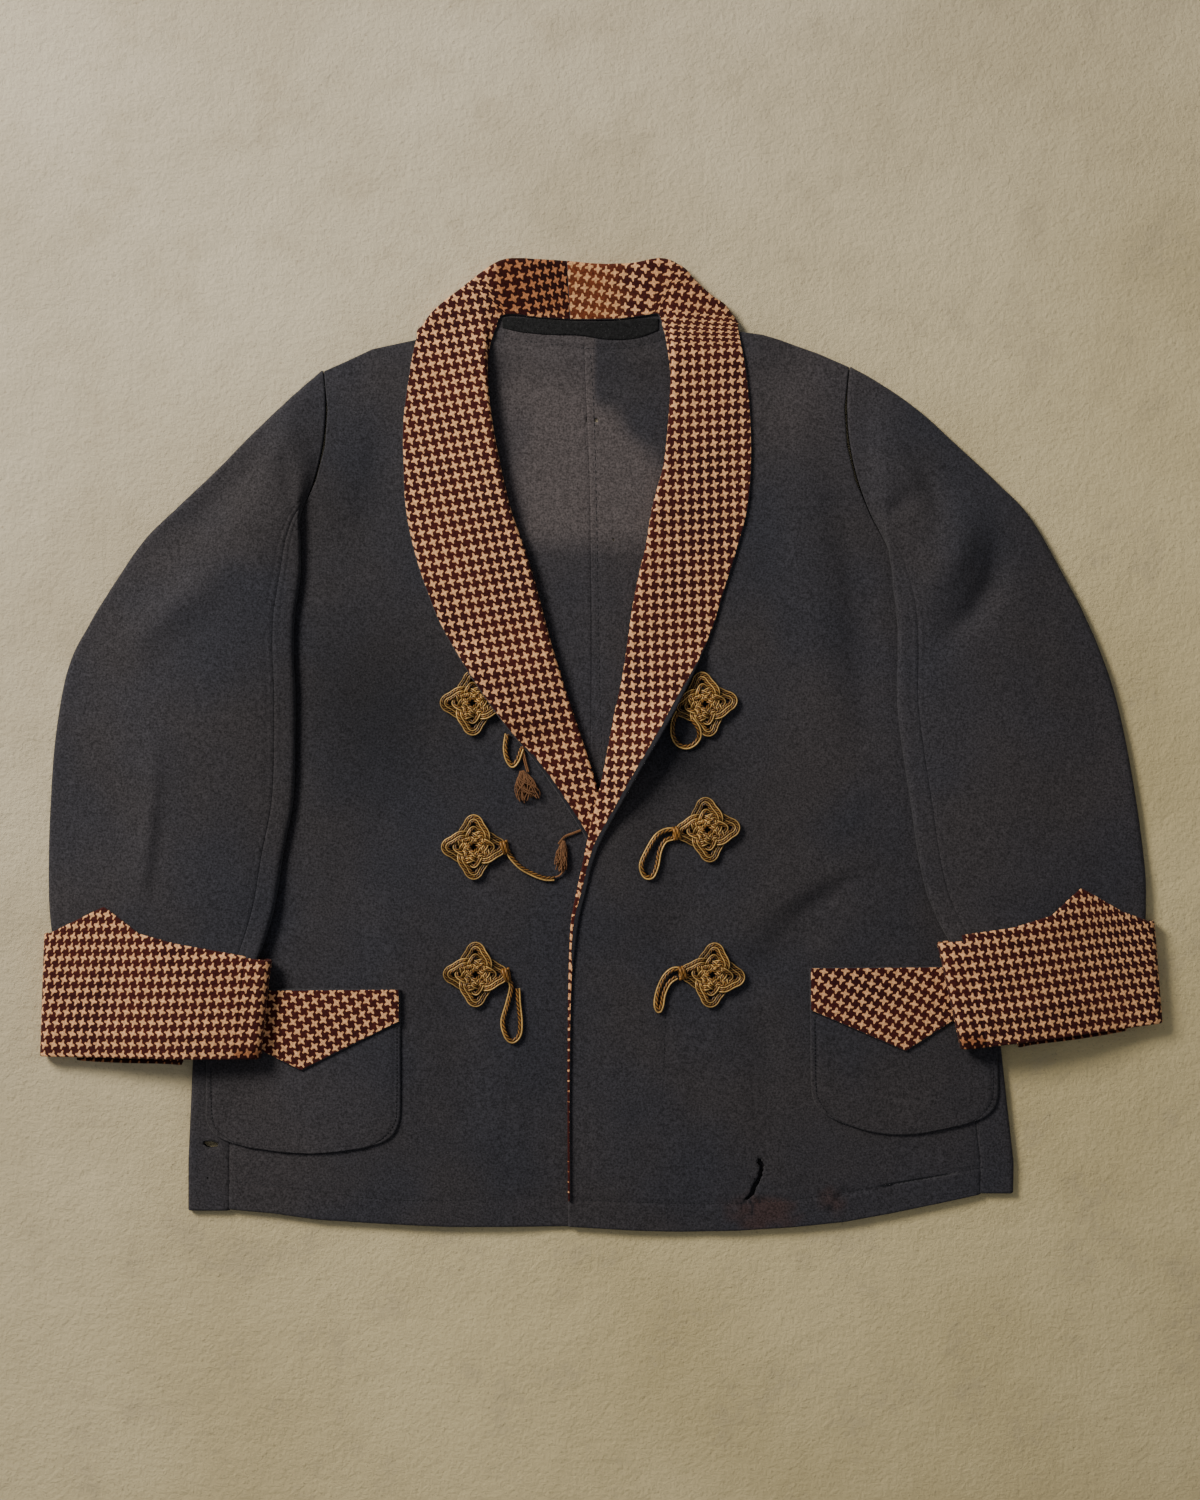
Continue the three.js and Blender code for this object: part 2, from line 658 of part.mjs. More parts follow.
// Path of the upper part (round the outer edge) or of the under part (round the inner edge) of a section
function tubePath(section, part, spread) {
  const { width, place, low, high, seamGap } = section;
  const RUN_STEPS = 9;
  const BEND_STEPS = 6;
  const topSeam = width - TOP_SEAM_INSET;
  const path = [];
  const put = (a, z) => {
    const p = place(a);
    path.push(point(p.x, p.y, z));
  };
  const run = (from, to, height) => {
    for (let k = 0; k <= RUN_STEPS; k++) {
      const a = mix(from, to, k / RUN_STEPS);
      put(a, height(a));
    }
  };
  const bend = (edge, way, startHigh) => {
    const radius = (high(edge) - low(edge)) / 2;
    for (let k = 1; k < BEND_STEPS; k++) {
      const angle = (Math.PI * k) / BEND_STEPS;
      const rise = radius * Math.cos(angle) * (startHigh ? 1 : -1);
      put(edge - way * radius * (1 - Math.sin(angle)), (high(edge) + low(edge)) / 2 + rise);
    }
    return radius;
  };
  const outerRadius = (high(-spread) - low(-spread)) / 2;
  const innerRadius = (high(width + spread) - low(width + spread)) / 2;
  if (part === "upper") {
    run(topSeam, outerRadius - spread, high);
    bend(-spread, -1, true);
    run(outerRadius - spread, HIND_SEAM_INSET, low);
  } else {
    run(HIND_SEAM_INSET + seamGap, width + spread - innerRadius, low);
    bend(width + spread, 1, false);
    run(width + spread - innerRadius, topSeam + seamGap, high);
  }
  return path;
}

function sleevePart(side, part) {
  const ROWS = 19;
  const COLUMNS = part === "upper" ? 12 : 11;
  const grid = [];
  for (let i = 0; i < ROWS; i++) {
    const along = i / (ROWS - 1);
    const row = rowAt(SLEEVE_ROWS[side], along);
    const lift = (LAYER + 1) * smooth(row.cuff, 0, 1);
    const section = tubeSection(side, row, 0, lift, 1 - smooth(along, 0, 0.12));
    grid.push(evenly(tubePath(section, part, 0), COLUMNS));
  }
  return wallAlong(grid);
}

// Turned cuffs: corners of the top edge and of the mouth, and the rise of the pointed top edge across
const CUFF_CORNERS = {
  right: {
    top: { outerX: -447.5, outerY: -155.5, innerX: -271, innerY: -175.5 },
    mouth: { outerX: -451, outerY: -253, innerX: -279.5, innerY: -253.5 },
    underReach: 7,
  },
  left: {
    top: { outerX: 442.5, outerY: -145.5, innerX: 274, innerY: -161.5 },
    mouth: { outerX: 449, outerY: -226.5, innerX: 292.5, innerY: -245.5 },
    underReach: 4,
  },
};
const CUFF_POINT = {
  right: table(["fromInner", "rise"], [
    [1, 0], [0.75, 27.5], [0.58, 9.5], [0.4, 5], [0.2, 3], [0, 0],
  ]),
  left: table(["fromInner", "rise"], [
    [1, 0], [0.87, 10.5], [0.69, 33], [0.53, 13.5], [0.34, 7], [0.09, 5], [0, 0],
  ]),
};
const CUFF_SPREAD = LAYER + 1.4;
const CUFF_CROWN = 5.4;

function cuffPart(side, part) {
  const ROWS = 6;
  const COLUMNS = part === "upper" ? 15 : 12;
  const { top, mouth, underReach } = CUFF_CORNERS[side];
  const sections = [top, mouth].map((corners) => {
    const row = { ...corners, bow: 0, crown: CUFF_CROWN, cuff: 1 };
    return evenly(tubePath(tubeSection(side, row, CUFF_SPREAD, 0, 0), part, 0), COLUMNS);
  });
  const grid = [];
  for (let i = 0; i < ROWS; i++) {
    const f = i / (ROWS - 1);
    const row = { bow: 0, crown: CUFF_CROWN, cuff: 1 };
    for (const name of ["outerX", "outerY", "innerX", "innerY"]) row[name] = mix(top[name], mouth[name], f);
    const section = tubeSection(side, row, CUFF_SPREAD, 0, 0);
    const line = evenly(tubePath(section, part, 0), COLUMNS);
    grid.push(line.map((p, j) => shapedCuffPoint(p, j, f, section, sections, part, side, underReach)));
  }
  return wallAlong(grid);
}

// A cuff point moved along the sleeve: the top edge rises to its point and the under wall reaches lower
function shapedCuffPoint(p, j, f, section, sections, part, side, underReach) {
  const outer = section.place(0);
  const fromOuter = new THREE.Vector2(p.x, p.y).distanceTo(outer) / section.width;
  const isTop = p.z > (section.high(section.width / 2) + section.low(section.width / 2)) / 2 - 1;
  const topEdge = sections[0][j];
  const mouthEdge = sections[1][j];
  const up = new THREE.Vector2(topEdge.x - mouthEdge.x, topEdge.y - mouthEdge.y).normalize();
  let shift = 0;
  if (part === "upper" && isTop) {
    shift = valueAt(CUFF_POINT[side], "fromInner", 1 - fromOuter, "rise") * (1 - f);
  }
  if (part === "under" && !isTop) shift = -underReach * Math.sin(Math.PI * fromOuter) ** 0.5 * f;
  return point(p.x + up.x * shift, p.y + up.y * shift, p.z);
}

for (const side of ["right", "left"]) {
  for (const part of ["upper", "under"]) {
    addPiece(part + "_sleeve_" + side, sleevePart(side, part), wool);
    addPiece("cuff_" + part + "_" + side, cuffPart(side, part), check);
  }
}

// Shawl collar: outer edge, limb where it turns under the shoulder, roll line and inner end, from the front
// edge up to the centre back. behind is 1 where the outer part lies under the back, stand is 1 where the
// inner part shows as the stand, and roll is the height of the soft roll.
const COLLAR_COLUMNS = [
  "outX", "outY", "limbX", "limbY", "rollX", "rollY", "inX", "inY", "behind", "stand", "roll",
];
const COLLAR_ROWS = {
  right: table(COLLAR_COLUMNS, [
    [12, -118, 12, -118, 16, -116, 16, -116, 0, 0, 0.3],
    [-4, -92, -4, -92, 9, -88, 9, -88, 0, 0, 0.3],
    [-17, -70, -17, -70, 2, -62, 2, -62, 0, 0, 0.3],
    [-46, -26, -46, -26, -9.5, -22, -9.5, -22, 0, 0, 0.6],
    [-89, 29, -89, 29, -28, 34, -28, 34, 0, 0, 3],
    [-126, 87, -126, 87, -43.5, 84, -43.5, 84, 0, 0, 4],
    [-142, 124, -142, 124, -54, 124, -54, 124, 0, 0, 4.5],
    [-152, 155, -152, 155, -63.5, 156, -63.5, 156, 0, 0, 4.5],
    [-159, 190, -159, 190, -75.5, 190, -75.5, 190, 0, 0, 4.5],
    [-161, 229, -161, 229, -84.5, 229, -84.5, 229, 0, 0, 4.5],
    [-161, 260, -161, 260, -90.5, 263, -90.5, 263, 0, 0, 4.5],
    [-157, 292, -157, 292, -94, 297, -94, 297, 0, 0, 4],
    [-153, 316, -153, 316, -94.5, 320, -92, 320, 0, 0, 3],
    [-150, 327, -150.2, 329, -95, 330, -89, 330, 0, 0, 2.5],
    [-149, 334, -149, 334.5, -95, 334, -87.5, 334, 0.5, 0, 2],
    [-143, 335, -145, 338, -95, 338, -86, 338, 1, 0, 2],
    [-126, 332, -138.5, 347.5, -95, 345, -85, 342, 1, 0.05, 2],
    [-108, 332, -127, 358, -94.5, 354, -83, 345, 1, 0.1, 2],
    [-92, 333, -113, 368.5, -94, 364, -80, 347, 1, 0.25, 2],
    [-77, 335, -99, 379.5, -91, 376, -75, 347.5, 1, 0.5, 2],
    [-62, 337, -82, 390, -80, 389, -66, 347, 1, 0.8, 2],
    [-45, 338, -62, 391.5, -62, 391.5, -52, 345, 1, 1, 2],
    [-29, 338, -29.2, 389.5, -29.2, 389.5, -26.6, 343.5, 1, 1, 2],
  ]),
  left: table(COLLAR_COLUMNS, [
    [-23, -168, -23, -168, -25.8, -168, -25.8, -168, 0, 0, 0.2],
    [-19.5, -142, -19.5, -142, -24.3, -143, -24.3, -143, 0, 0, 0.3],
    [-14, -120, -14, -120, -20.3, -122, -20.3, -122, 0, 0, 0.4],
    [-9, -99, -9, -99, -15.8, -101, -15.8, -101, 0, 0, 0.6],
    [-2, -80, -2, -80, -11, -78, -11, -78, 0, 0, 0.8],
    [12, -54, 12, -54, -6, -56, -6, -56, 0, 0, 1.2],
    [30, -22, 30, -22, 1.5, -24, 1.5, -24, 0, 0, 2],
    [53, 17, 53, 17, 9.5, 18, 9.5, 18, 0, 0, 3],
    [72, 54, 72, 54, 17.5, 56, 17.5, 56, 0, 0, 4],
    [88, 91, 88, 91, 23, 95, 23, 95, 0, 0, 4.5],
    [97, 120, 97, 120, 28, 125, 28, 125, 0, 0, 4.5],
    [108, 155, 108, 155, 36, 160, 36, 160, 0, 0, 4.5],
    [117, 190, 117, 190, 41.5, 192, 41.5, 192, 0, 0, 4.5],
    [120, 228, 120, 228, 50.5, 226, 50.5, 226, 0, 0, 4.5],
    [119, 268, 119, 268, 54.5, 264, 54.5, 264, 0, 0, 4.5],
    [116, 300, 116, 300, 56, 298, 56, 298, 0, 0, 4],
    [112, 322, 112, 322, 56, 320, 53, 320, 0, 0, 3],
    [109.7, 334, 109.7, 335, 56, 331, 51, 331, 0, 0, 2.5],
    [108.5, 341, 108.5, 341.5, 56.5, 338, 49, 337, 0.5, 0, 2],
    [103, 342.5, 105, 346, 57, 345, 48, 342, 1, 0, 2],
    [88, 338, 99, 354.5, 57, 353, 47, 345, 1, 0.1, 2],
    [72, 336, 88, 362, 57, 362, 46, 347, 1, 0.25, 2],
    [56, 336, 75, 374, 57, 371, 44, 348, 1, 0.35, 2],
    [42, 337, 64, 385.5, 55, 381, 40, 347.5, 1, 0.55, 2],
    [28, 337, 47, 391.5, 45, 391, 33, 346.5, 1, 0.8, 2],
    [5, 337, 22, 387.5, 22, 387.5, 15, 344, 1, 1, 2],
    [-12, 338, -6, 387.5, -6, 387.5, -8, 343.5, 1, 1, 2],
    [-28.2, 338, -28.6, 389.5, -28.6, 389.5, -26, 343.5, 1, 1, 2],
  ]),
};

const LAPEL_GAP = 0.7; // between a lapel and the front it lies on

// Height by which a lapel rides over the frog that lies partly under it
function frogLift(x, y) {
  const nearest = Math.min(...LAPEL_FROGS.map(([fx, fy]) => Math.hypot(x - fx, y - fy)));
  return FROG_HEIGHT * (1 - smooth(nearest, 29, 52));
}

// The left lapel's outer edge stands up from the front near its lower end
function lapelLift(side, y) {
  const LIFT = 8;
  const FROM_Y = -2;
  const REACH = 52;
  return side === "left" ? LIFT * Math.exp(-(((y - FROM_Y) / REACH) ** 2)) : 0;
}

function collarHalf(side) {
  const ROWS = side === "right" ? 27 : 30;
  const COLUMNS = 11;
  const grid = [];
  for (let i = 0; i < ROWS; i++) {
    const row = rowAt(COLLAR_ROWS[side], i / (ROWS - 1));
    grid.push(evenly(rounded(collarPath(side, row), 2), COLUMNS));
  }
  return wallAlong(grid);
}

// Middle of the cloth across the collar: outer edge, limb, soft top, roll and inner end
function collarPath(side, row) {
  const NECK_TOP = 8.2;
  const NECK_SEAT = 5.8;
  const HANDLE = 3.5;
  const TOP_STEPS = 5;
  const behind = THREE.MathUtils.clamp(row.behind, 0, 1);
  const atNeck = smooth(row.rollY, 318, 346);
  const overFront = (x, y, f) => {
    const base = topOf(side, x, y) + LAPEL_GAP + CLOTH / 2;
    const soft = row.roll * smooth(f, 0.4, 1) + lapelLift(side, y) * (1 - f);
    return mix(base + Math.max(frogLift(x, y), soft), NECK_TOP, atNeck);
  };
  const out = new THREE.Vector2(row.outX, row.outY);
  const limb = new THREE.Vector2(row.limbX, row.limbY);
  const roll = new THREE.Vector2(row.rollX, row.rollY);
  const inner = new THREE.Vector2(row.inX, row.inY);
  const outZ = mix(overFront(out.x, out.y, 0), CLOTH / 2, behind);
  const limbZ = mix(outZ, NECK_TOP, behind);
  const innerZ = mix(underOf(side, inner.x, inner.y) + CLOTH / 2, NECK_SEAT, smooth(inner.y, 300, 332));
  const path = [];
  const put = (p, z) => path.push(point(p.x, p.y, z));
  const toward = (from, to, distance) => {
    const length = from.distanceTo(to);
    return from.clone().lerp(to, length > 0 ? Math.min(distance / length, 0.4) : 0);
  };
  put(out, outZ);
  if (behind > 0.2) {
    put(toward(limb, out, HANDLE), outZ);
    put(limb, outZ);
    put(limb, limbZ);
  }
  for (let k = 1; k < TOP_STEPS; k++) {
    const f = k / TOP_STEPS;
    const p = limb.clone().lerp(roll, f);
    put(p, Math.max(overFront(p.x, p.y, f), mix(limbZ, overFront(roll.x, roll.y, 1), f)));
  }
  const rollZ = overFront(roll.x, roll.y, 1);
  put(roll, rollZ);
  const stand = THREE.MathUtils.clamp(row.stand, 0, 1);
  put(toward(roll, inner, HANDLE), mix(Math.min(innerZ + 1, rollZ), rollZ, stand));
  put(inner, innerZ);
  return path;
}

// Dark tape that covers the neck seam inside the back: its upper and lower edges from side to side
const TAPE_ROWS = table(["x", "upper", "lower"], [
  [-81, 345, 337],
  [-66, 344.6, 333.5],
  [-45, 343, 331.5],
  [-20, 341.4, 331],
  [5, 341.4, 327.5],
  [28, 343.6, 328.5],
  [45, 344, 335],
]);
const TAPE_THICK = 1;

function neckTape() {
  const ROWS = 11;
  const COLUMNS = 3;
  const grid = [];
  for (let i = 0; i < ROWS; i++) {
    const row = rowAt(TAPE_ROWS, i / (ROWS - 1));
    const line = [];
    for (let j = 0; j < COLUMNS; j++) {
      const y = mix(row.upper, row.lower, j / (COLUMNS - 1));
      line.push(point(row.x, y, neckLift(row.x, y) + CLOTH + GAP + TAPE_THICK / 2));
    }
    grid.push(line);
  }
  return wallAlong(grid, TAPE_THICK);
}

for (const side of ["right", "left"]) addPiece("collar_" + side, collarHalf(side), check);
addPiece("neck_tape", neckTape(), tape);

// Frogs: a flat knot of four loops laced over and under, one loop each way
const KNOT_CORD = 3; // diameter of the cord in the knots
const FROG_GAP = 0.8; // between a frog and the front it is sewn to
const FROGS = table(["name", "side", "x", "y", "turn"], [
  ["right_top", "right", -105, 32, 0],
  ["right_middle", "right", -104, -84.5, 0],
  ["right_low", "right", -102.5, -187.5, 0],
  ["left_top", "left", 83, 31, 8],
  ["left_middle", "left", 85, -70.5, 5],
  ["left_low", "left", 89, -188, -5],
]);

// Closed round tube along points, each given its own frame with the section upright
function closedTube(points, radius, sides) {
  const corners = [];
  const triangles = [];
  const up = new THREE.Vector3(0, 0, 1);
  points.forEach((p, i) => {
    const ahead = points[(i + 1) % points.length];
    const before = points[(i - 1 + points.length) % points.length];
    const along = ahead.clone().sub(before).normalize();
    const sideways = along.clone().cross(up).normalize();
    const lift = sideways.clone().cross(along);
    for (let k = 0; k < sides; k++) {
      const angle = (2 * Math.PI * k) / sides;
      const rim = p.clone().addScaledVector(sideways, radius * Math.cos(angle));
      rim.addScaledVector(lift, radius * Math.sin(angle));
      corners.push(rim.x, rim.y, rim.z);
      const next = (i + 1) % points.length;
      const a = i * sides + k;
      const b = i * sides + ((k + 1) % sides);
      const c = next * sides + ((k + 1) % sides);
      const d = next * sides + k;
      triangles.push(a, b, c, a, c, d);
    }
  });
  return facingOut(corners, triangles);
}

// The knot's cord goes three times round while it swings out four times, and passes over and under itself
function frogKnot(frog) {
  const STEPS = 66;
  const SIDES = 4;
  const MEAN_RADIUS = 13.5;
  const SWING = 9.5;
  const SWAY = 0.45; // narrows the four loops into the points of a square
  const LIFT = 1.75;
  const points = [];
  for (let i = 0; i < STEPS; i++) {
    const t = (6 * Math.PI * i) / STEPS;
    const radius = MEAN_RADIUS + SWING * Math.cos((4 * t) / 3);
    const round = t - SWAY * Math.sin((4 * t) / 3);
    const angle = round + THREE.MathUtils.degToRad(frog.turn);
    const x = frog.x + radius * Math.cos(angle);
    const y = frog.y + radius * Math.sin(angle);
    const pass = LIFT * Math.sin((8 * round) / 3);
    points.push(point(x, y, topOf(frog.side, x, y) + FROG_GAP + KNOT_CORD / 2 + LIFT + pass));
  }
  return closedTube(points, KNOT_CORD / 2, SIDES);
}

for (const frog of FROGS) addPiece("frog_knot_" + frog.name, frogKnot(frog), gold);

// Loops of the frogs, from the knot out and round, as they lie on the fronts
const LOOP_CORD = 4.2; // diameter of the doubled cord in the loops
const LOOP_SIDES = 8;
const LOOP_ROUTES = {
  right_top: [[-77, 7], [-78.5, -4], [-77, -13], [-73, -18.5], [-69, -14.5], [-66.7, -8.5], [-65.5, -5]],
  right_middle: [[-76.6, -87], [-74, -92.5], [-66, -101], [-55, -107], [-46, -110], [-39, -110]],
  right_low: [
    [-76.3, -191], [-73.5, -197.5], [-76.5, -211], [-80.5, -226], [-77.5, -238], [-72.5, -241.5],
    [-67.5, -236.5], [-66.5, -226], [-68, -210], [-68.6, -199],
  ],
  left_top: [[65, 15.5], [59.5, 13.5], [56.8, 6], [58.5, -3], [64, -8], [70.5, -6], [74, 0.5], [71.5, 8]],
  left_middle: [
    [58, -70.8], [51, -71.3], [43.5, -76], [36, -88], [31.5, -99], [34.3, -107.7], [40, -108],
    [43.8, -100], [46.2, -88], [50.5, -79.8], [57, -77.2],
  ],
  left_low: [
    [62.6, -183.5], [56.5, -184], [50, -190.5], [45, -202], [43.4, -212], [46, -217.6], [49.2, -212.5],
    [50.4, -203.5], [54.5, -195], [60.2, -190.2],
  ],
};

function frogLoop(frog) {
  const STEP = LOOP_CORD * 2;
  const route = LOOP_ROUTES[frog.name].map(([x, y]) => {
    return point(x, y, topOf(frog.side, x, y) + FROG_GAP + LOOP_CORD / 2);
  });
  const path = new THREE.CatmullRomCurve3(route);
  const round = new THREE.Shape();
  for (let k = 0; k < LOOP_SIDES; k++) {
    const angle = (2 * Math.PI * k) / LOOP_SIDES;
    const [x, y] = [(LOOP_CORD / 2) * Math.cos(angle), (LOOP_CORD / 2) * Math.sin(angle)];
    if (k === 0) round.moveTo(x, y);
    else round.lineTo(x, y);
  }
  const steps = Math.ceil(path.getLength() / STEP);
  return new THREE.ExtrudeGeometry(round, { steps, bevelEnabled: false, extrudePath: path });
}

for (const frog of FROGS) addPiece("frog_loop_" + frog.name, frogLoop(frog), gold);

// Frayed knots of cord at the ends of two broken loops
const FRAYED_KNOTS = table(["name", "x", "y", "halfWidth", "halfLength", "thick", "turn"], [
  ["right_top", -62, -35, 10, 12.5, 6, 15],
  ["right_middle", -33, -91.5, 5.5, 12, 6, -8],
]);

function frayedKnot(knot) {
  const ball = new THREE.SphereGeometry(1, 10, 6);
  ball.scale(knot.halfWidth, knot.halfLength, knot.thick / 2);
  ball.rotateZ(THREE.MathUtils.degToRad(knot.turn));
  ball.translate(knot.x, knot.y, frontTopNear(knot) + GAP + knot.thick / 2);
  ball.deleteAttribute("normal");
  ball.deleteAttribute("uv");
  const merged = mergeVertices(ball, 1e-4);
  return facingOut([...merged.attributes.position.array], [...merged.index.array]);
}

// Highest part of the right front under a small knot
function frontTopNear(knot) {
  const reach = Math.min(knot.halfWidth, knot.halfLength) / 2;
  const spots = [[0, 0], [reach, 0], [-reach, 0], [0, reach], [0, -reach]];
  return Math.max(...spots.map(([dx, dy]) => topOf("right", knot.x + dx, knot.y + dy)));
}

for (const knot of FRAYED_KNOTS) addPiece("frog_frayed_" + knot.name, frayedKnot(knot), gold);

export default jacket;
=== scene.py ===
import math
import random

import bpy
import numpy as np
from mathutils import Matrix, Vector, noise


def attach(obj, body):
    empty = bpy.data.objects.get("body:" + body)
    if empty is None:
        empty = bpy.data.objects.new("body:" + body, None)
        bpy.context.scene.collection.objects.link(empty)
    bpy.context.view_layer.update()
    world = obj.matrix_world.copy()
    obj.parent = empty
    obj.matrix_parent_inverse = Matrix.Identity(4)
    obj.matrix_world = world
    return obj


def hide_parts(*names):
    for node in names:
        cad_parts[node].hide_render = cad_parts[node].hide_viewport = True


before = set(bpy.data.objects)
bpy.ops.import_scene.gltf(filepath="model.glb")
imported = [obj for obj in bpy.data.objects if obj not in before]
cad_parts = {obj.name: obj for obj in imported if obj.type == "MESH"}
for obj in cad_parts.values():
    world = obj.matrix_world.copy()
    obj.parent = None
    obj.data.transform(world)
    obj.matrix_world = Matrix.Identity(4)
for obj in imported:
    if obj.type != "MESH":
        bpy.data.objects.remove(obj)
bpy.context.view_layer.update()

# A wool smoking jacket laid flat on its back, with a houndstooth shawl collar, cuffs and pocket trims.
# Lengths are in millimetres, as in the part's source, and become metres where a mesh is made.
MM = 0.001
CLOTH = 2.0
GAP = 0.3
LAYER = CLOTH + GAP
REST_GAP = 0.8
BACK_SHORTER = 4.0
MIDDLE_X = -1.3
MIDDLE_Y = -2.14
FAR = 1e9
TINY = 1e-9  # stands for a length of nothing where one is divided by
FOLD_REACH = 2.6  # how far a fold is felt to each side, in its own widths


# Numbers and tables
def table(columns, rows):
    return [dict(zip(columns, row)) for row in rows]


def clamp(x, low, high):
    return max(low, min(high, x))


def mix(a, b, f):
    return a + (b - a) * f


def smooth(x, low, high):
    f = clamp((x - low) / (high - low), 0, 1)
    return f * f * (3 - 2 * f)


def bell(distance, width):
    """1 at no distance, falling off softly to both sides."""
    return math.exp(-((distance / width) ** 2))


def curved(a, b, c, d, f):
    """Value at a share f from b to c, on a smooth curve that comes from a and goes on to d."""
    bend = 2 * a - 5 * b + 4 * c - d
    twist = 3 * b - a - 3 * c + d
    return 0.5 * (2 * b + (c - a) * f + bend * f * f + twist * f * f * f)


def row_at(rows, place):
    """Smooth value of every column at a place from 0, the first row, to 1, the last one."""
    at = clamp(place, 0, 1) * (len(rows) - 1)
    i = min(int(at), len(rows) - 2)
    near = [rows[clamp(k, 0, len(rows) - 1)] for k in (i - 1, i, i + 1, i + 2)]
    return {name: curved(*(row[name] for row in near), at - i) for name in rows[0]}


def value_at(rows, key, wanted, name):
    """Value of a column where the key column, which falls down the table, has the wanted value."""
    if wanted >= rows[0][key]:
        return rows[0][name]
    for above, below in zip(rows, rows[1:]):
        if wanted < below[key]:
            continue
        share = (wanted - below[key]) / (above[key] - below[key])
        return mix(below[name], above[name], share)
    return rows[-1][name]


def nearest_on(x, y, chain):
    """Distance to a chain of points, how far along the chain its nearest point lies, and that point."""
    best = (FAR, 0, x, y)
    for i in range(1, len(chain)):
        ax, ay = chain[i - 1]
        bx, by = chain[i]
        dx, dy = bx - ax, by - ay
        f = clamp(((x - ax) * dx + (y - ay) * dy) / (dx * dx + dy * dy), 0, 1)
        px, py = ax + f * dx, ay + f * dy
        distance = math.hypot(x - px, y - py)
        if distance < best[0]:
            best = (distance, (i - 1 + f) / (len(chain) - 1), px, py)
    return best


def fold(path, width, height, even=False):
    """A soft trough or ridge along a path. An even one keeps its depth to its ends, as a seam does."""
    reach = FOLD_REACH * width
    xs = [p[0] for p in path]
    ys = [p[1] for p in path]
    box = (min(xs) - reach, max(xs) + reach, min(ys) - reach, max(ys) + reach)
    return {"path": path, "width": width, "height": height, "even": even, "box": box}


FOLD_GAIN = 1.35  # folds of the cloth are this much deeper than those of the plain solids


def fold_height(x, y, folds):
    height = 0
    for f in folds:
        left, right, low, high = f["box"]
        if x < left or x > right or y < low or y > high:
            continue
        distance, along, _, _ = nearest_on(x, y, f["path"])
        taper = 1 if f["even"] else FOLD_GAIN * (0.35 + 0.65 * math.sin(math.pi * along))
        height += f["height"] * taper * bell(distance, f["width"])
    return height


BODY_FOLDS = [
    fold([(-173, 266), (-187, 210), (-196, 148)], 17, -2.0),
    fold([(-236, 60), (-228, -30), (-232, -110)], 26, 1.8),
    fold([(-150, -120), (-158, -200), (-150, -300)], 40, 1.2),
    fold([(192, 251), (196, 189), (205, 128), (210, 65), (212, 10)], 15, -2.2),
    fold([(165, 270), (168, 180), (176, 80), (182, -10)], 24, 2.0),
    fold([(200, -124), (164, -147), (111, -200)], 15, -1.6),
    fold([(180, -100), (140, -130), (100, -165)], 18, 1.8),
    fold([(206, -110), (176, -126), (150, -142)], 8, -2.2),
    fold([(214, -96), (182, -113), (152, -130)], 7, 1.2),
    fold([(-130, -150), (-118, -230), (-104, -300)], 16, -1.3),
    fold([(-190, -120), (-170, -160), (-158, -210)], 11, 1.3),
    fold([(20, -150), (36, -220), (30, -300)], 20, 1.2),
    fold([(120, -210), (134, -270), (130, -320)], 15, -1.2),
]
SLEEVE_FOLDS = [
    fold([(-280, 229), (-352, 158)], 16, -4),
    fold([(-384, 76), (-311, 138)], 16, 4),
    fold([(-361, 0), (-365, -71), (-374, -132)], 12, 2),
    fold([(-360, 2), (-364, -71), (-373, -132)], 3.5, 1.3),
    fold([(-352, -30), (-356, -80), (-364, -130)], 5, -1.2),
    fold([(-247, 286), (-269, 221)], 13, 3),
    fold([(-259, 233), (-248, 192)], 9, -3),
    fold([(216, 293), (210, 245), (214, 218)], 9, -2.5),
    fold([(222, 181), (252, 198)], 9, -2.5),
    fold([(252, 233), (268, 202), (272, 185)], 9, -3),
    fold([(320, 158), (315, 128), (301, 107), (272, 82)], 12, -4.5),
    fold([(300, 190), (285, 150), (262, 118)], 16, 4.5),
]

# Side edges of the body and the armholes above them, with the strip of back that wraps to the front
BODY_EDGES = table(["y", "right", "rightWrap", "left", "leftWrap"], [
    [304, -225.8, 0, 199.8, 0],
    [270.4, -222.4, 0, 196, 0],
    [240.7, -224.5, 0, 198, 0],
    [211.9, -232.1, 0, 205, 0],
    [184, -245, 0, 217, 0],
    [163, -253, 0, 228.5, 0],
    [136, -268, 0, 246, 0],
    [111, -293, 0, 275, 0],
    [90, -296, 8, 279, 8],
    [34, -303, 20, 290, 16],
    [-47, -313, 26, 299, 20],
    [-128, -321, 29, 309, 23],
    [-209, -328, 31, 319, 25],
    [-260, -332, 32, 324, 25],
    [-306, -334, 32, 329, 26],
    [-341, -335.5, 32.5, 333, 26],
    [-396, -335.5, 32.5, 332, 26],
])
OUTWARD = {"right": -1, "left": 1}
SEAM_GAP = 0.25


def edge_x(side, y):
    return value_at(BODY_EDGES, "y", y, side)


def wrap_width(side, y):
    return value_at(BODY_EDGES, "y", y, side + "Wrap")


def seam_x(side, y):
    return edge_x(side, y) - OUTWARD[side] * wrap_width(side, y)


# Shoulder line and front hem from the wearer's left to right
SHOULDER_LINE = table(["x", "y"], [
    [200, 304], [175, 315], [144, 326], [130, 330], [108, 333], [90, 336], [75, 341], [58, 348], [45, 351],
    [-80, 351], [-94, 346], [-112, 337], [-130, 330], [-148, 326.5], [-162, 323.5], [-187, 318.5],
    [-208, 308.5], [-226, 300.5],
])
HEM_LINE = table(["x", "y"], [
    [332, -364], [306, -366], [273, -373], [234, -381], [195, -388], [156, -392], [110, -395], [66, -396],
    [27, -395], [-27, -392], [-126, -392], [-185, -389], [-232, -386], [-268, -381], [-303, -378],
    [-336, -379],
])


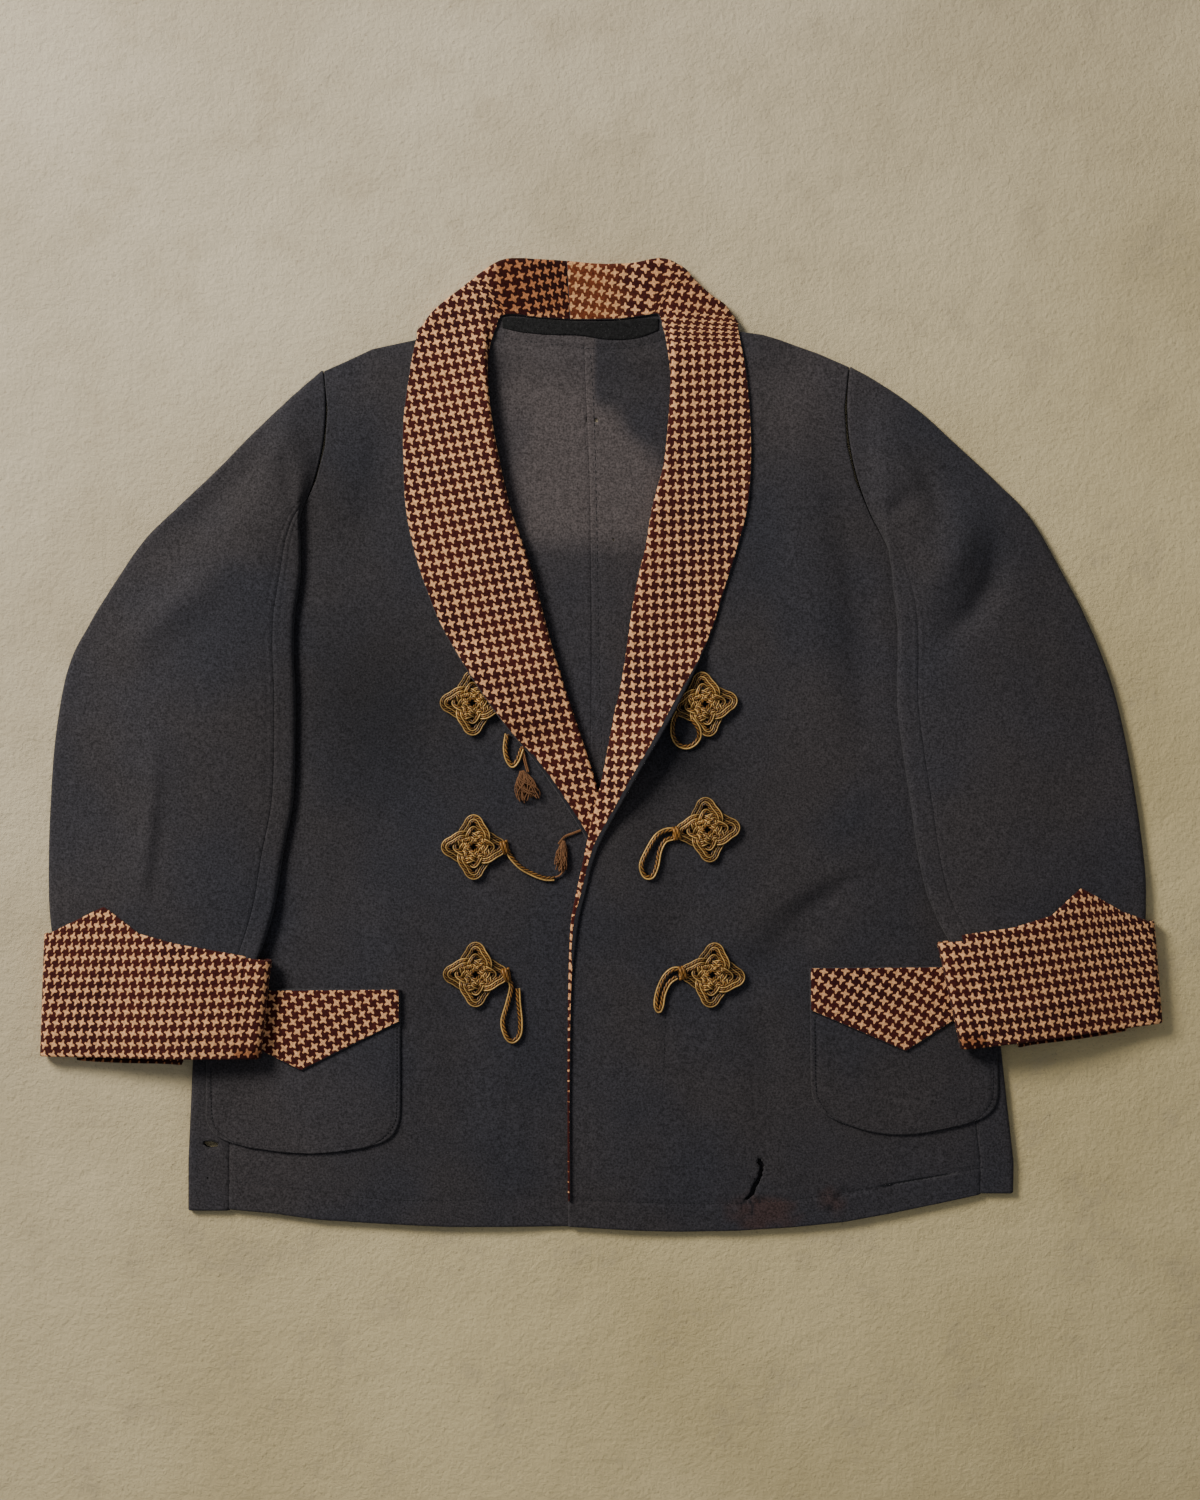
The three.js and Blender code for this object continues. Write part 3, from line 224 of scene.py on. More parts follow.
def shoulder_y(x):
    return value_at(SHOULDER_LINE, "x", x, "y")


def hem_y(x):
    return value_at(HEM_LINE, "x", x, "y")


# Front edge of the under front, which the upper front hides, from top to bottom
HIDDEN_EDGE = table(["y", "x"], [[-40, -6], [-75, 4], [-120, 17], [-160, 27], [-230, 33], [-396, 34]])

# The end of the under lapel that the upper front lies on, and the frogs that the lapels lie on
HIDDEN_LAPEL = [(-12, -46), (12, -116)]
LAPEL_FROGS = [(-105, 32), (83, 31)]
FROG_HEIGHT = 7

# Rows of stitching and seams that press a fine groove into the fronts and the back
HEM_STITCH = 22  # from the hem up to its row of stitching
FRONT_GROOVES = [
    fold([(51, -160), (51, -260), (49, -292), (51, -322), (52, -372)], 2.4, -0.5, even=True),
    fold([(-59, -87), (-59, -371)], 2.2, -0.3, even=True),
    fold([(-28, 336), (-84, 330)], 3.0, -0.4, even=True),
]
BACK_GROOVES = [
    fold([(-15, 320), (-10, 196), (-9, 114), (-7, 31), (-4, -30)], 1.6, -0.5, even=True),
    fold([(-10, 318), (-5, 196), (-4, 114), (-2, 31), (1, -30)], 1.4, -0.3, even=True),
    fold([(-83, 330), (-60, 325.5), (-28, 322), (-8, 320), (17, 320), (40, 325), (58, 329)],
         1.6, -0.9, even=True),
    fold([(-83, 334), (-60, 329.5), (-28, 326), (-8, 324), (17, 324), (40, 329), (58, 333)],
         2.2, 0.9, even=True),
]


def lumps(x, y):
    """Small unevenness of thick felted cloth that lies loose."""
    wide = noise.noise((x / 44, y / 44, 1.7))
    narrow = noise.noise((x / 17, y / 17, 5.1))
    return 0.55 * wide + 0.22 * narrow


def neck_lift(x, y):
    """Height that the back is lifted by the collar folded under it at the neck."""
    neck_x = -18
    return LAYER * smooth(y, 290, 314) * (1 - smooth(abs(x - neck_x), 140, 178))


def front_under(x, y):
    """Underside of the fronts above the floor, without the lift where one front lies on the other."""
    side = "right" if x < -15 else "left"
    inside = abs(x - edge_x(side, y))
    folds = fold_height(x, y, BODY_FOLDS) * smooth(inside, 0, 45)
    toward_shoulder = 1 - 0.85 * smooth(y, 275, 335)
    toward_middle = 1 - 0.8 * (1 - smooth(abs(x - 5), 20, 110))
    loft = 2 + 1.5 * smooth(inside, 10, 120) + folds
    return neck_lift(x, y) + LAYER + max(0.3, loft * toward_shoulder * toward_middle)


def left_front_under(x, y):
    """Underside of the left front, lifted over the right front and over the end of its lapel."""
    edge = value_at(HIDDEN_EDGE, "y", y, "x")
    over_front = (1 - smooth(x, edge + 6, edge + 50)) * (1 - smooth(y, -25, 45))
    over_lapel = 0
    if abs(x) < 80 and -185 < y < 25:
        over_lapel = 1 - smooth(nearest_on(x, y, HIDDEN_LAPEL)[0], 17, 65)
    return front_under(x, y) + (LAYER + 0.2) * over_front + (LAYER + 1.5) * over_lapel


def front_lumps(x, y):
    """Unevenness of the fronts, which is less near the shoulders."""
    return lumps(x, y) * (1 - 0.7 * smooth(y, 280, 330))


def surface_detail(x, y):
    """Lumps and stitched grooves of the fronts."""
    hem = -0.55 * bell(y - hem_y(x) - HEM_STITCH, 2.2) if y < -330 else 0
    return front_lumps(x, y) + fold_height(x, y, FRONT_GROOVES) + hem


def under_of(side, x, y):
    return front_under(x, y) if side == "right" else left_front_under(x, y)


def top_of(side, x, y):
    return under_of(side, x, y) + CLOTH + front_lumps(x, y)


# Paths and grids of points
def rounded(path, passes):
    """The path with its corners rounded off."""
    points = np.array(path, float)
    for _ in range(passes):
        near = mix(points[:-1], points[1:], 0.25)
        far = mix(points[:-1], points[1:], 0.75)
        cut = np.stack([near, far], 1).reshape(-1, points.shape[1])
        points = np.vstack([points[:1], cut, points[-1:]])
    return points


def evenly(path, count, crowd=0.0):
    """The path with evenly spaced points, or with more of them toward both ends where crowd is over 0."""
    points = np.array(path, float)
    steps = np.linalg.norm(np.diff(points, axis=0), axis=1)
    along = np.concatenate([[0], np.cumsum(steps)])
    wanted = along[-1] * crowded(count, crowd)
    return np.stack([np.interp(wanted, along, points[:, k]) for k in range(points.shape[1])], 1)


def crowded(count, crowd):
    """Shares from 0 to 1, closer together toward both ends."""
    t = np.linspace(0, 1, count)
    return t - crowd * np.sin(2 * math.pi * t) / (2 * math.pi)


def evenly_round(path, count):
    """Evenly spaced points on a closed path, without its start again at the end."""
    return evenly(np.vstack([path, path[:1]]), count + 1)[:-1]


def closed_curve(points, count):
    """Points on a smooth closed curve through the given ones, even between each two of them."""
    given = np.array(points, float)
    made = []
    for place in np.arange(count) * len(given) / count:
        i = int(place)
        near = [given[(i + k) % len(given)] for k in (-1, 0, 1, 2)]
        made.append(curved(*near, place - i))
    return np.array(made)


def curve_through(points, count):
    """Evenly spaced points on a smooth curve through the given ones."""
    fine_steps = 400
    rows = [dict(enumerate(p)) for p in points]
    fine = [list(row_at(rows, i / fine_steps).values()) for i in range(fine_steps + 1)]
    return evenly(fine, count)


def lengths_along(path):
    steps = np.linalg.norm(np.diff(path, axis=0), axis=1)
    return np.concatenate([[0], np.cumsum(steps)])


def at_points(grid, value):
    """What a function of a place in plan gives at every point of a grid."""
    return np.array([[value(p[0], p[1]) for p in line] for line in grid])


def in_metres(points):
    """Points of the jacket, in millimetres, brought to the row's frame in metres."""
    placed = np.array(points, float)
    placed[..., 0] -= MIDDLE_X
    placed[..., 1] -= MIDDLE_Y
    return placed * MM


# Meshes
def add_object(name, corners, faces, materials, smooth_faces=True):
    mesh = bpy.data.meshes.new(name)
    mesh.from_pydata([tuple(c) for c in corners], [], faces)
    for material in materials:
        mesh.materials.append(material)
    if smooth_faces:
        mesh.polygons.foreach_set("use_smooth", [True] * len(mesh.polygons))
    obj = bpy.data.objects.new(name, mesh)
    bpy.context.scene.collection.objects.link(obj)
    return obj


def ride(obj, slot, *nodes):
    """The piece moves with the jacket's one body and stands for the CAD nodes named."""
    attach(obj, "root")
    if nodes:
        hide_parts(*nodes)
    return obj


def rim_edges(kept):
    """Edges of a grid's kept cells that have no kept neighbour, each in its cell's turning direction."""
    rows, columns = kept.shape
    padded = np.zeros((rows + 2, columns + 2), bool)
    padded[1:-1, 1:-1] = kept
    sides = [
        ((-1, 0), (0, 0), (0, 1)),
        ((0, 1), (0, 1), (1, 1)),
        ((1, 0), (1, 1), (1, 0)),
        ((0, -1), (1, 0), (0, 0)),
    ]
    edges = []
    for (di, dj), (ai, aj), (bi, bj) in sides:
        open_side = kept & ~padded[1 + di:rows + 1 + di, 1 + dj:columns + 1 + dj]
        for i, j in np.argwhere(open_side):
            edges.append(((i + ai, j + aj), (i + bi, j + bj)))
    return edges


ROUND_RIM = 0.4  # how far a rim bulges out, as a share of the cloth's thickness
LOWEST = 0.02  # height of the lowest corner above the floor


def rim_ways(grid, normal, edges):
    """At each point of a rim, the way out of the cloth that lies in its plane."""
    outward = np.zeros_like(grid)
    for a, b in edges:
        way = np.cross(grid[b] - grid[a], normal[a])
        way /= max(np.linalg.norm(way), TINY)
        outward[a] += way
        outward[b] += way
    return outward / np.maximum(np.linalg.norm(outward, axis=2, keepdims=True), TINY)


def write_values(obj, label, values):
    layer = obj.data.attributes.new(label, "FLOAT", "POINT")
    layer.data.foreach_set("value", values)


def cloth(name, grid, materials, thickness=CLOTH, turned=False, uv=None, kept=None, paint=None):
    """A closed wall of cloth round a grid of middle points, with a rounded rim and holes for cells left out.

    The first material is on the outer face, which is the lower one where the grid is turned, and the last
    one on the inner face and the rim. paint gives named values at the grid's points.
    """
    grid = np.array(grid, float)
    rows, columns = grid.shape[:2]
    if kept is None:
        kept = np.ones((rows - 1, columns - 1), bool)
    normal = np.cross(np.gradient(grid, axis=1), np.gradient(grid, axis=0))
    normal /= np.maximum(np.linalg.norm(normal, axis=2, keepdims=True), TINY)
    first = grid + normal * thickness / 2
    second = grid - normal * thickness / 2
    size = rows * columns

    def at(i, j):
        return i * columns + j

    cells = np.argwhere(kept)
    i, j = cells[:, 0], cells[:, 1]
    quads = np.stack([at(i, j), at(i, j + 1), at(i + 1, j + 1), at(i + 1, j)], 1)
    edges = rim_edges(kept)
    middle = grid + rim_ways(grid, normal, edges) * thickness * ROUND_RIM
    corners = np.concatenate([first.reshape(-1, 3), second.reshape(-1, 3), middle.reshape(-1, 3)])
    corners[:, 2] = np.maximum(corners[:, 2], LOWEST)
    faces = [tuple(q) for q in quads.tolist()]
    faces += [tuple(q) for q in (quads[:, ::-1] + size).tolist()]
    for a, b in edges:
        a, b = int(at(*a)), int(at(*b))
        faces.append((b, a, 2 * size + a, 2 * size + b))
        faces.append((2 * size + b, 2 * size + a, size + a, size + b))
    used = np.unique(np.concatenate([np.array(f) for f in faces]))
    index = np.full(3 * size, -1)
    index[used] = np.arange(len(used))
    faces = [tuple(int(index[v]) for v in f) for f in faces]
    obj = add_object(name + "_cloth", in_metres(corners)[used], faces, materials)
    flats = np.zeros((rows, columns, 2)) if uv is None else np.array(uv, float)
    write_uv(obj, np.concatenate([flats.reshape(-1, 2)] * 3)[used])
    for label, values in (paint or {}).items():
        write_values(obj, label, np.concatenate([np.array(values, float).ravel()] * 3)[used])
    marks = np.full(len(faces), len(materials) - 1)
    first_outer = len(quads) if turned else 0
    marks[first_outer:first_outer + len(quads)] = 0
    obj.data.polygons.foreach_set("material_index", marks)
    return obj


def write_uv(obj, places):
    layer = obj.data.uv_layers.new(name="cloth")
    corner = np.zeros(len(obj.data.loops), int)
    obj.data.loops.foreach_get("vertex_index", corner)
    layer.data.foreach_set("uv", places[corner].ravel())


def declare_cloth(grid):
    """Makes an array of the grid's points; nothing more is done with it."""
    grid = np.array(grid, float)


def tube(points, radius, sides, closed=False):
    """Corners and faces of a tube. The radius is one number, or one for each point and each side."""
    points = np.array(points, float)
    count = len(points)
    if closed:
        along = np.roll(points, -1, 0) - np.roll(points, 1, 0)
    else:
        along = np.gradient(points, axis=0)
    along /= np.maximum(np.linalg.norm(along, axis=1, keepdims=True), TINY)
    sideways = np.cross(along, [0.0, 0.0, 1.0])
    sideways /= np.maximum(np.linalg.norm(sideways, axis=1, keepdims=True), TINY)
    lift = np.cross(sideways, along)
    angles = np.arange(sides) * 2 * math.pi / sides
    radii = np.broadcast_to(radius, (count, sides))
    rims = points[:, None, :] + sideways[:, None, :] * (radii * np.cos(angles))[..., None]
    rims = rims + lift[:, None, :] * (radii * np.sin(angles))[..., None]
    corners = rims.reshape(-1, 3)
    faces = []
    for i in range(count if closed else count - 1):
        n = (i + 1) % count
        for k in range(sides):
            m = (k + 1) % sides
            faces.append((i * sides + k, n * sides + k, n * sides + m, i * sides + m))
    if not closed:
        faces.append(tuple(range(sides)))
        faces.append(tuple((count - 1) * sides + k for k in reversed(range(sides))))
    return corners, faces


def joined(parts):
    """Several lots of corners and faces as one."""
    corners, faces = [], []
    base = 0
    for part_corners, part_faces in parts:
        corners.append(part_corners)
        faces += [tuple(v + base for v in f) for f in part_faces]
        base += len(part_corners)
    return np.concatenate(corners), faces


# Camera straight above, framed as the photograph is, in its 1200 by 1500 pixels
MM_PER_PIXEL = 0.81
PHOTO_HIGH = 1500
CAMERA_HEIGHT = 1700
SCALE_HEIGHT = 8  # height above the floor at which the photograph's scale holds
VIEW_X = -0.7
VIEW_Y = -3.9


def make_camera():
    data = bpy.data.cameras.new("camera")
    data.sensor_width = 36
    data.lens = data.sensor_width * (CAMERA_HEIGHT - SCALE_HEIGHT) / (PHOTO_HIGH * MM_PER_PIXEL)
    camera = bpy.data.objects.new("camera", data)
    camera.location = (VIEW_X * MM, VIEW_Y * MM, CAMERA_HEIGHT * MM)
    bpy.context.scene.collection.objects.link(camera)
    bpy.context.scene.camera = camera


make_camera()


# Materials
class Surface:
    """Nodes of one material."""

    def __init__(self, name):
        self.material = bpy.data.materials.new(name)
        self.material.use_nodes = True
        self.tree = self.material.node_tree
        self.shader = self.tree.nodes["Principled BSDF"]

    def node(self, kind, **settings):
        made = self.tree.nodes.new(kind)
        for key, value in settings.items():
            setattr(made, key, value)
        return made

    def put(self, socket, value):
        if isinstance(value, bpy.types.NodeSocket):
            self.tree.links.new(value, socket)
        elif value is not None:
            socket.default_value = value

    def math(self, operation, a, b=None, c=None):
        made = self.node("ShaderNodeMath", operation=operation)
        for socket, value in zip(made.inputs, (a, b, c)):
            self.put(socket, value)
        return made.outputs[0]

    def mixed(self, factor, a, b, blend="MIX"):
        made = self.node("ShaderNodeMix", data_type="RGBA", blend_type=blend)
        self.put(made.inputs[0], factor)
        self.put(made.inputs[6], a)
        self.put(made.inputs[7], b)
        return made.outputs[2]

    def tinted(self, tone, by):
        return self.mixed(1.0, tone, by, "MULTIPLY")

    def place(self, scale=(1, 1, 1), turn=(0, 0, 0)):
        """Object coordinates in metres, scaled and turned."""
        where = self.node("ShaderNodeTexCoord").outputs["Object"]
        mapping = self.node("ShaderNodeMapping")
        self.put(mapping.inputs["Vector"], where)
        self.put(mapping.inputs["Scale"], scale)
        self.put(mapping.inputs["Rotation"], turn)
        return mapping.outputs[0]

    def noise(self, where, scale, detail=2.0, rough=0.5, distort=0.0):
        made = self.node("ShaderNodeTexNoise")
        self.put(made.inputs["Vector"], where)
        self.put(made.inputs["Scale"], scale)
        self.put(made.inputs["Detail"], detail)
        self.put(made.inputs["Roughness"], rough)
        self.put(made.inputs["Distortion"], distort)
        return made.outputs["Fac"]

    def between(self, value, low, high, to_low=0.0, to_high=1.0):
        made = self.node("ShaderNodeMapRange", interpolation_type="SMOOTHSTEP")
        for name, number in (("Value", value), ("From Min", low), ("From Max", high),
                             ("To Min", to_low), ("To Max", to_high)):
            self.put(made.inputs[name], number)
        return made.outputs[0]

    def painted(self, name):
        made = self.node("ShaderNodeAttribute", attribute_name=name)
        return made.outputs["Fac"]

    def bump(self, height, distance, strength=1.0, under=None):
        made = self.node("ShaderNodeBump")
        self.put(made.inputs["Strength"], strength)
        self.put(made.inputs["Distance"], distance)
        self.put(made.inputs["Height"], height)
        self.put(made.inputs["Normal"], under)
        return made.outputs[0]

    def finish(self, colour, normal=None, roughness=0.9, sheen=0.0, specular=0.3, metallic=0.0):
        self.put(self.shader.inputs["Base Color"], colour)
        self.put(self.shader.inputs["Normal"], normal)
        self.shader.inputs["Roughness"].default_value = roughness
        self.shader.inputs["Sheen Weight"].default_value = sheen
        self.shader.inputs["Sheen Roughness"].default_value = 0.5
        self.shader.inputs["Specular IOR Level"].default_value = specular
        self.shader.inputs["Metallic"].default_value = metallic
        return self.material


def colour(red, green, blue):
    """A colour from its values on screen, 0 to 255."""
    linear = []
    for value in (red, green, blue):
        share = value / 255
        linear.append(share / 12.92 if share <= 0.04045 else ((share + 0.055) / 1.055) ** 2.4)
    return (*linear, 1.0)


def shade_colour(s, value):
    made = s.node("ShaderNodeCombineColor")
    for socket in made.inputs:
        s.put(socket, value)
    return made.outputs[0]


def fibre_grain(s):
    """Fine felted fibres, a little streaky along the threads each way."""
    fibres = s.noise(s.place(turn=(0, 0, 0.3)), 620, 4, 0.65)
    across = s.noise(s.place((1, 5.5, 1)), 260, 3, 0.6)
    down = s.noise(s.place((5.5, 1, 1)), 260, 3, 0.6)
    streaks = s.math("MULTIPLY", s.math("ADD", across, down), 0.2)
    return s.math("ADD", s.math("MULTIPLY", fibres, 0.6), streaks)


RUST = colour(74, 47, 38)


def wool_material(name, cool, warm, worn, dark):
    """Felted wool: soft clouds of two greys, a grain of fibres, and worn, rusty or dark places where painted;
    the dark paint is painted shade or worn-through cracks.
    """
    s = Surface(name)
    place = s.place()
    clouds = s.between(s.noise(place, 9, 2, 0.5), 0.3, 0.7)
    tone = s.mixed(clouds, cool, warm)
    tone = s.mixed(s.painted("worn"), tone, worn)
    tone = s.mixed(s.painted("rust"), tone, RUST)
    # painted shade and dark cracks, where the dark paint is
    tone = s.mixed(s.painted("dark"), tone, dark)
    grain = fibre_grain(s)
    mottle = s.between(s.noise(place, 200, 3, 0.6), 0.3, 0.7, 0.91, 1.09)
    tone = s.tinted(tone, shade_colour(s, mottle))
    tone = s.tinted(tone, shade_colour(s, s.between(grain, 0.36, 0.64, 0.5, 1.6)))
    lint = s.between(s.noise(place, 1300, 1, 0.5), 0.69, 0.78, 0.0, 0.4)
    tone = s.mixed(lint, tone, colour(110, 108, 110))
    wide = s.bump(s.noise(place, 110, 3, 0.6), 0.0008, 0.5)
    fine = s.bump(grain, 0.0005, 0.8, wide)
    return s.finish(tone, fine, roughness=0.95, sheen=0.08, specular=0.12)


STAR_TURN = 16  # degrees by which the check's stars are turned on their rows
STAR_CORE = 0.192  # half width of a star's arms at its middle, in repeats
STAR_TAPER = 0.28  # how much narrower the arms get toward their tips
STAR_REACH = 0.46  # from a star's middle to its tips
STAR_BLUR = 0.022  # half the width of the soft line round a star


def star_share(s, u, v):
    """1 on the light stars of the check, one in each repeat, and 0 on the dark ground."""
    cosine = math.cos(math.radians(STAR_TURN))
    sine = math.sin(math.radians(STAR_TURN))
    from_u = s.math("SUBTRACT", s.math("FRACT", u), 0.5)
    from_v = s.math("SUBTRACT", s.math("FRACT", v), 0.5)
    a = s.math("ADD", s.math("MULTIPLY", from_u, cosine), s.math("MULTIPLY", from_v, sine))
    b = s.math("SUBTRACT", s.math("MULTIPLY", from_v, cosine), s.math("MULTIPLY", from_u, sine))
    a = s.math("ABSOLUTE", a)
    b = s.math("ABSOLUTE", b)
    long_way = s.math("MAXIMUM", a, b)
    short_way = s.math("MINIMUM", a, b)
    reach = s.math("ADD", short_way, s.math("MULTIPLY", long_way, STAR_TAPER))
    within_arm = s.between(reach, STAR_CORE - STAR_BLUR, STAR_CORE + STAR_BLUR, 1.0, 0.0)
    within_tip = s.between(long_way, STAR_REACH - 0.03, STAR_REACH + 0.02, 1.0, 0.0)
    return s.math("MULTIPLY", within_arm, within_tip)


THREADS = 8  # threads in one repeat of the check
UNEVEN = 0.16  # how far the check wanders, in repeats


def place_in_check(s):
    """Both places on the cloth in repeats of the check, a little uneven."""
    flat = s.node("ShaderNodeUVMap", uv_map="cloth").outputs[0]
    wobble = s.node("ShaderNodeTexNoise")
    s.put(wobble.inputs["Vector"], s.place())
    s.put(wobble.inputs["Scale"], 330)
    shift = s.node("ShaderNodeVectorMath", operation="MULTIPLY_ADD")
    s.put(shift.inputs[0], wobble.outputs["Color"])
    s.put(shift.inputs[1], (UNEVEN, UNEVEN, 0.0))
    s.put(shift.inputs[2], flat)
    split = s.node("ShaderNodeSeparateXYZ")
    s.put(split.inputs[0], shift.outputs[0])
    return split.outputs[0], split.outputs[1]


def check_material(name, light, edge, dark, dim):
    """Houndstooth: light four-armed stars on a dark ground, or plain wool where the wrong side shows."""
    s = Surface(name)
    u, v = place_in_check(s)
    star = star_share(s, u, v)
    fibres = s.noise(s.place(), 620, 3, 0.6)
    clouds = s.between(s.noise(s.place(), 18, 2, 0.5), 0.35, 0.7)
    ground = s.mixed(clouds, dark, dim)
    fringe = s.math("MULTIPLY", star, s.math("SUBTRACT", 1.0, star))
    tone = s.mixed(star, ground, light)
    tone = s.mixed(s.math("MULTIPLY", fringe, 2.0), tone, edge)
    faded = s.mixed(star, colour(112, 56, 32), colour(214, 158, 108))
    tone = s.mixed(s.painted("worn"), tone, faded)
    shade = shade_colour(s, s.between(fibres, 0.3, 0.7, 0.66, 1.34))
    tone = s.tinted(tone, shade)
    # painted shade where the dark paint is: the shaded half of the collar stand and the inside of each cuff's
    # mouth
    tone = s.mixed(s.painted("dark"), tone, s.tinted(tone, colour(186, 164, 156)))
    tone = s.mixed(s.between(s.painted("turned"), 0.4, 0.6), tone, colour(46, 46, 51))
    ribs_u = s.math("SINE", s.math("MULTIPLY", u, 2 * math.pi * THREADS))
    ribs_v = s.math("SINE", s.math("MULTIPLY", v, 2 * math.pi * THREADS))
    ribs = s.math("ADD", s.math("MULTIPLY", ribs_u, 0.25), s.math("MULTIPLY", ribs_v, 0.25))
    weave = s.bump(s.math("ADD", ribs, fibres), 0.0004, 0.7)
    weave = s.bump(star, 0.0004, 0.5, weave)
    return s.finish(tone, weave, roughness=0.92, sheen=0.05, specular=0.12)


def cord_material(name, light, dark, roughness, metallic):
    """Silky thread: bright along the strands, with painted shade in the dips between them, down each cord's
    sides and where one lead passes under another, all carried by the painted dip value.
    """
    s = Surface(name)
    strands = s.noise(s.place(), 900, 3, 0.6, 0.6)
    patches = s.noise(s.place(), 90, 2, 0.5)
    mingled = s.math("ADD", s.math("MULTIPLY", strands, 0.5), s.math("MULTIPLY", patches, 0.5))
    tone = s.mixed(s.between(mingled, 0.36, 0.64), s.mixed(0.45, dark, light), light)
    # painted shade, from the dip value
    tone = s.mixed(s.painted("dip"), tone, dark)
    shine = s.bump(strands, 0.0003, 0.6)
    return s.finish(tone, shine, roughness=roughness, specular=0.4, metallic=metallic)


# The last wool colour is the colour of painted shade and of worn-through cracks
WOOL = wool_material("wool", colour(50, 50, 56), colour(56, 53, 55), colour(86, 79, 79), colour(26, 27, 31))
CHECK = check_material(
    "houndstooth", colour(240, 180, 128), colour(164, 84, 46), colour(72, 29, 25), colour(56, 23, 23))
TAPE = wool_material(
    "neck_tape", colour(31, 31, 32), colour(27, 27, 28), colour(50, 46, 44), colour(14, 14, 16))
# The second colour of each cord is the colour of its painted shade
GOLD = cord_material("gold_cord", colour(196, 136, 60), colour(16, 9, 3), 0.42, 0.15)
GIMP = cord_material("gimp", colour(236, 190, 112), colour(40, 25, 9), 0.4, 0.15)
FRAYED = cord_material("frayed_cord", colour(150, 104, 66), colour(76, 48, 28), 0.8, 0.0)
THREAD = cord_material("thread", colour(34, 35, 40), colour(22, 23, 27), 0.8, 0.0)


# Frogs: laced knots of cord with a smooth thread beside it, and their loops
FROGS = table(["name", "side", "x", "y", "turn"], [
    ["right_top", "right", -105, 32, 0],
    ["right_middle", "right", -104, -84.5, 0],
    ["right_low", "right", -102.5, -187.5, 0],
    ["left_top", "left", 83, 31, 8],
    ["left_middle", "left", 85, -70.5, 5],
    ["left_low", "left", 89, -188, -5],
])
FROG_GAP = 0.8  # from the cloth up to the cord on it
LOOP_CORD = 4.2  # width of a loop's two strands together
LOOP_PLY = 1.45  # radius of a loop's twisted strand
LOOP_GIMP = 0.7  # radius of the smooth thread beside it
LOOP_STEP = 0.45
LOOP_ROUTES = {
    "right_top": [(-77, 7), (-78.5, -4), (-77, -13), (-73, -18.5), (-69, -14.5), (-66.7, -8.5), (-65.5, -5)],
    "right_middle": [(-76.6, -87), (-74, -92.5), (-66, -101), (-55, -107), (-46, -110), (-39, -110)],
    "right_low": [
        (-76.3, -191), (-73.5, -197.5), (-76.5, -211), (-80.5, -226), (-77.5, -238), (-72.5, -241.5),
        (-67.5, -236.5), (-66.5, -226), (-68, -210), (-68.6, -199),
    ],
    "left_top": [
        (61, 25), (57.5, 17), (57, 7), (60.5, -0.5), (67, -3.5), (73.5, -1.5), (78, 4.5), (77, 12), (72, 19),
    ],
    "left_middle": [
        (58, -70.8), (51, -71.3), (43.5, -76), (36, -88), (31.5, -99), (34.3, -107.7), (40, -108),
        (43.8, -100), (46.2, -88), (50.5, -79.8), (57, -77.2),
    ],
    "left_low": [
        (62.6, -183.5), (56.5, -184), (50, -190), (45, -201.5), (43.4, -212), (45.6, -217), (47.8, -212.5),
        (49.4, -203.5), (53.8, -194.4), (60.2, -189.6),
    ],
}
OVER_KNOT = 4.2  # height by which the upper left loop rides over its knot


STRANDS = 3  # strands laid round each other in a cord
TWIST = 7.8  # millimetres along a cord in which its strands go once round it, for each millimetre of radius


def strand_swell(points, angles, pitch):
    """1 on top of a cord's strands and 0 in the dips between them, for each angle round each point."""
    turned = lengths_along(points) * 2 * math.pi / pitch
    return np.abs(np.cos(STRANDS / 2 * (angles[None, :] - turned[:, None])))


def beside(points, distance, rise=0.0, closed=False):
    """The path moved sideways in plan, and up."""
    points = np.array(points, float)
    along = np.roll(points, -1, 0) - np.roll(points, 1, 0) if closed else np.gradient(points, axis=0)
    side = np.stack([along[:, 1], -along[:, 0], np.zeros(len(points))], 1)
    side /= np.maximum(np.linalg.norm(side, axis=1, keepdims=True), TINY)
    moved = points + side * distance
    moved[:, 2] += rise
    return moved


def side_shade(count, sides):
    """Painted shade for each corner of a tube: how far it lies down its sides, from 0 on top to 1 at its
    lower half.
    """
    heights = np.sin(np.arange(sides) * 2 * math.pi / sides)
    shade = np.clip((0.72 - heights) / 0.9, 0, 1)
    return np.broadcast_to(shade, (count, sides))


def twisted_cord(points, radius, closed=False):
    """A cord of three strands, with painted shade in the dips between them and down its sides."""
    sides = 9
    angles = np.arange(sides) * 2 * math.pi / sides
    swell = strand_swell(np.array(points, float), angles, TWIST * radius)
    corners, faces = tube(points, radius * (0.66 + 0.34 * swell), sides, closed)
    dip = np.clip(2.3 * (1 - swell) - 0.1 + side_shade(len(points), sides), 0, 1)
    return {"corners": corners, "faces": faces, "material": GOLD, "dip": dip.ravel()}


def plain_cord(points, radius, sides=6, closed=False, material=None):
    """A smooth round thread."""
    corners, faces = tube(points, radius, sides, closed)
    # painted shade down the thread's sides
    dip = 0.3 * side_shade(len(points), sides).ravel()
    return {"corners": corners, "faces": faces, "material": material or GIMP, "dip": dip}


def paired_cord(points, ply, gimp, closed=False):
    """A twisted cord with a smooth thread laid beside it."""
    edge = beside(points, ply + gimp * 0.7, 0.5, closed)
    return [twisted_cord(points, ply, closed), plain_cord(edge, gimp, 6, closed)]


def add_cords(name, parts):
    """One piece from tubes that each have their own material."""
    corners, faces = joined([(part["corners"], part["faces"]) for part in parts])
    materials = list(dict.fromkeys(part["material"] for part in parts))
    obj = add_object(name, in_metres(corners), faces, materials)
    marks = []
    for part in parts:
        marks += [materials.index(part["material"])] * len(part["faces"])
    obj.data.polygons.foreach_set("material_index", marks)
    write_values(obj, "dip", np.concatenate([part["dip"] for part in parts]))
    return obj


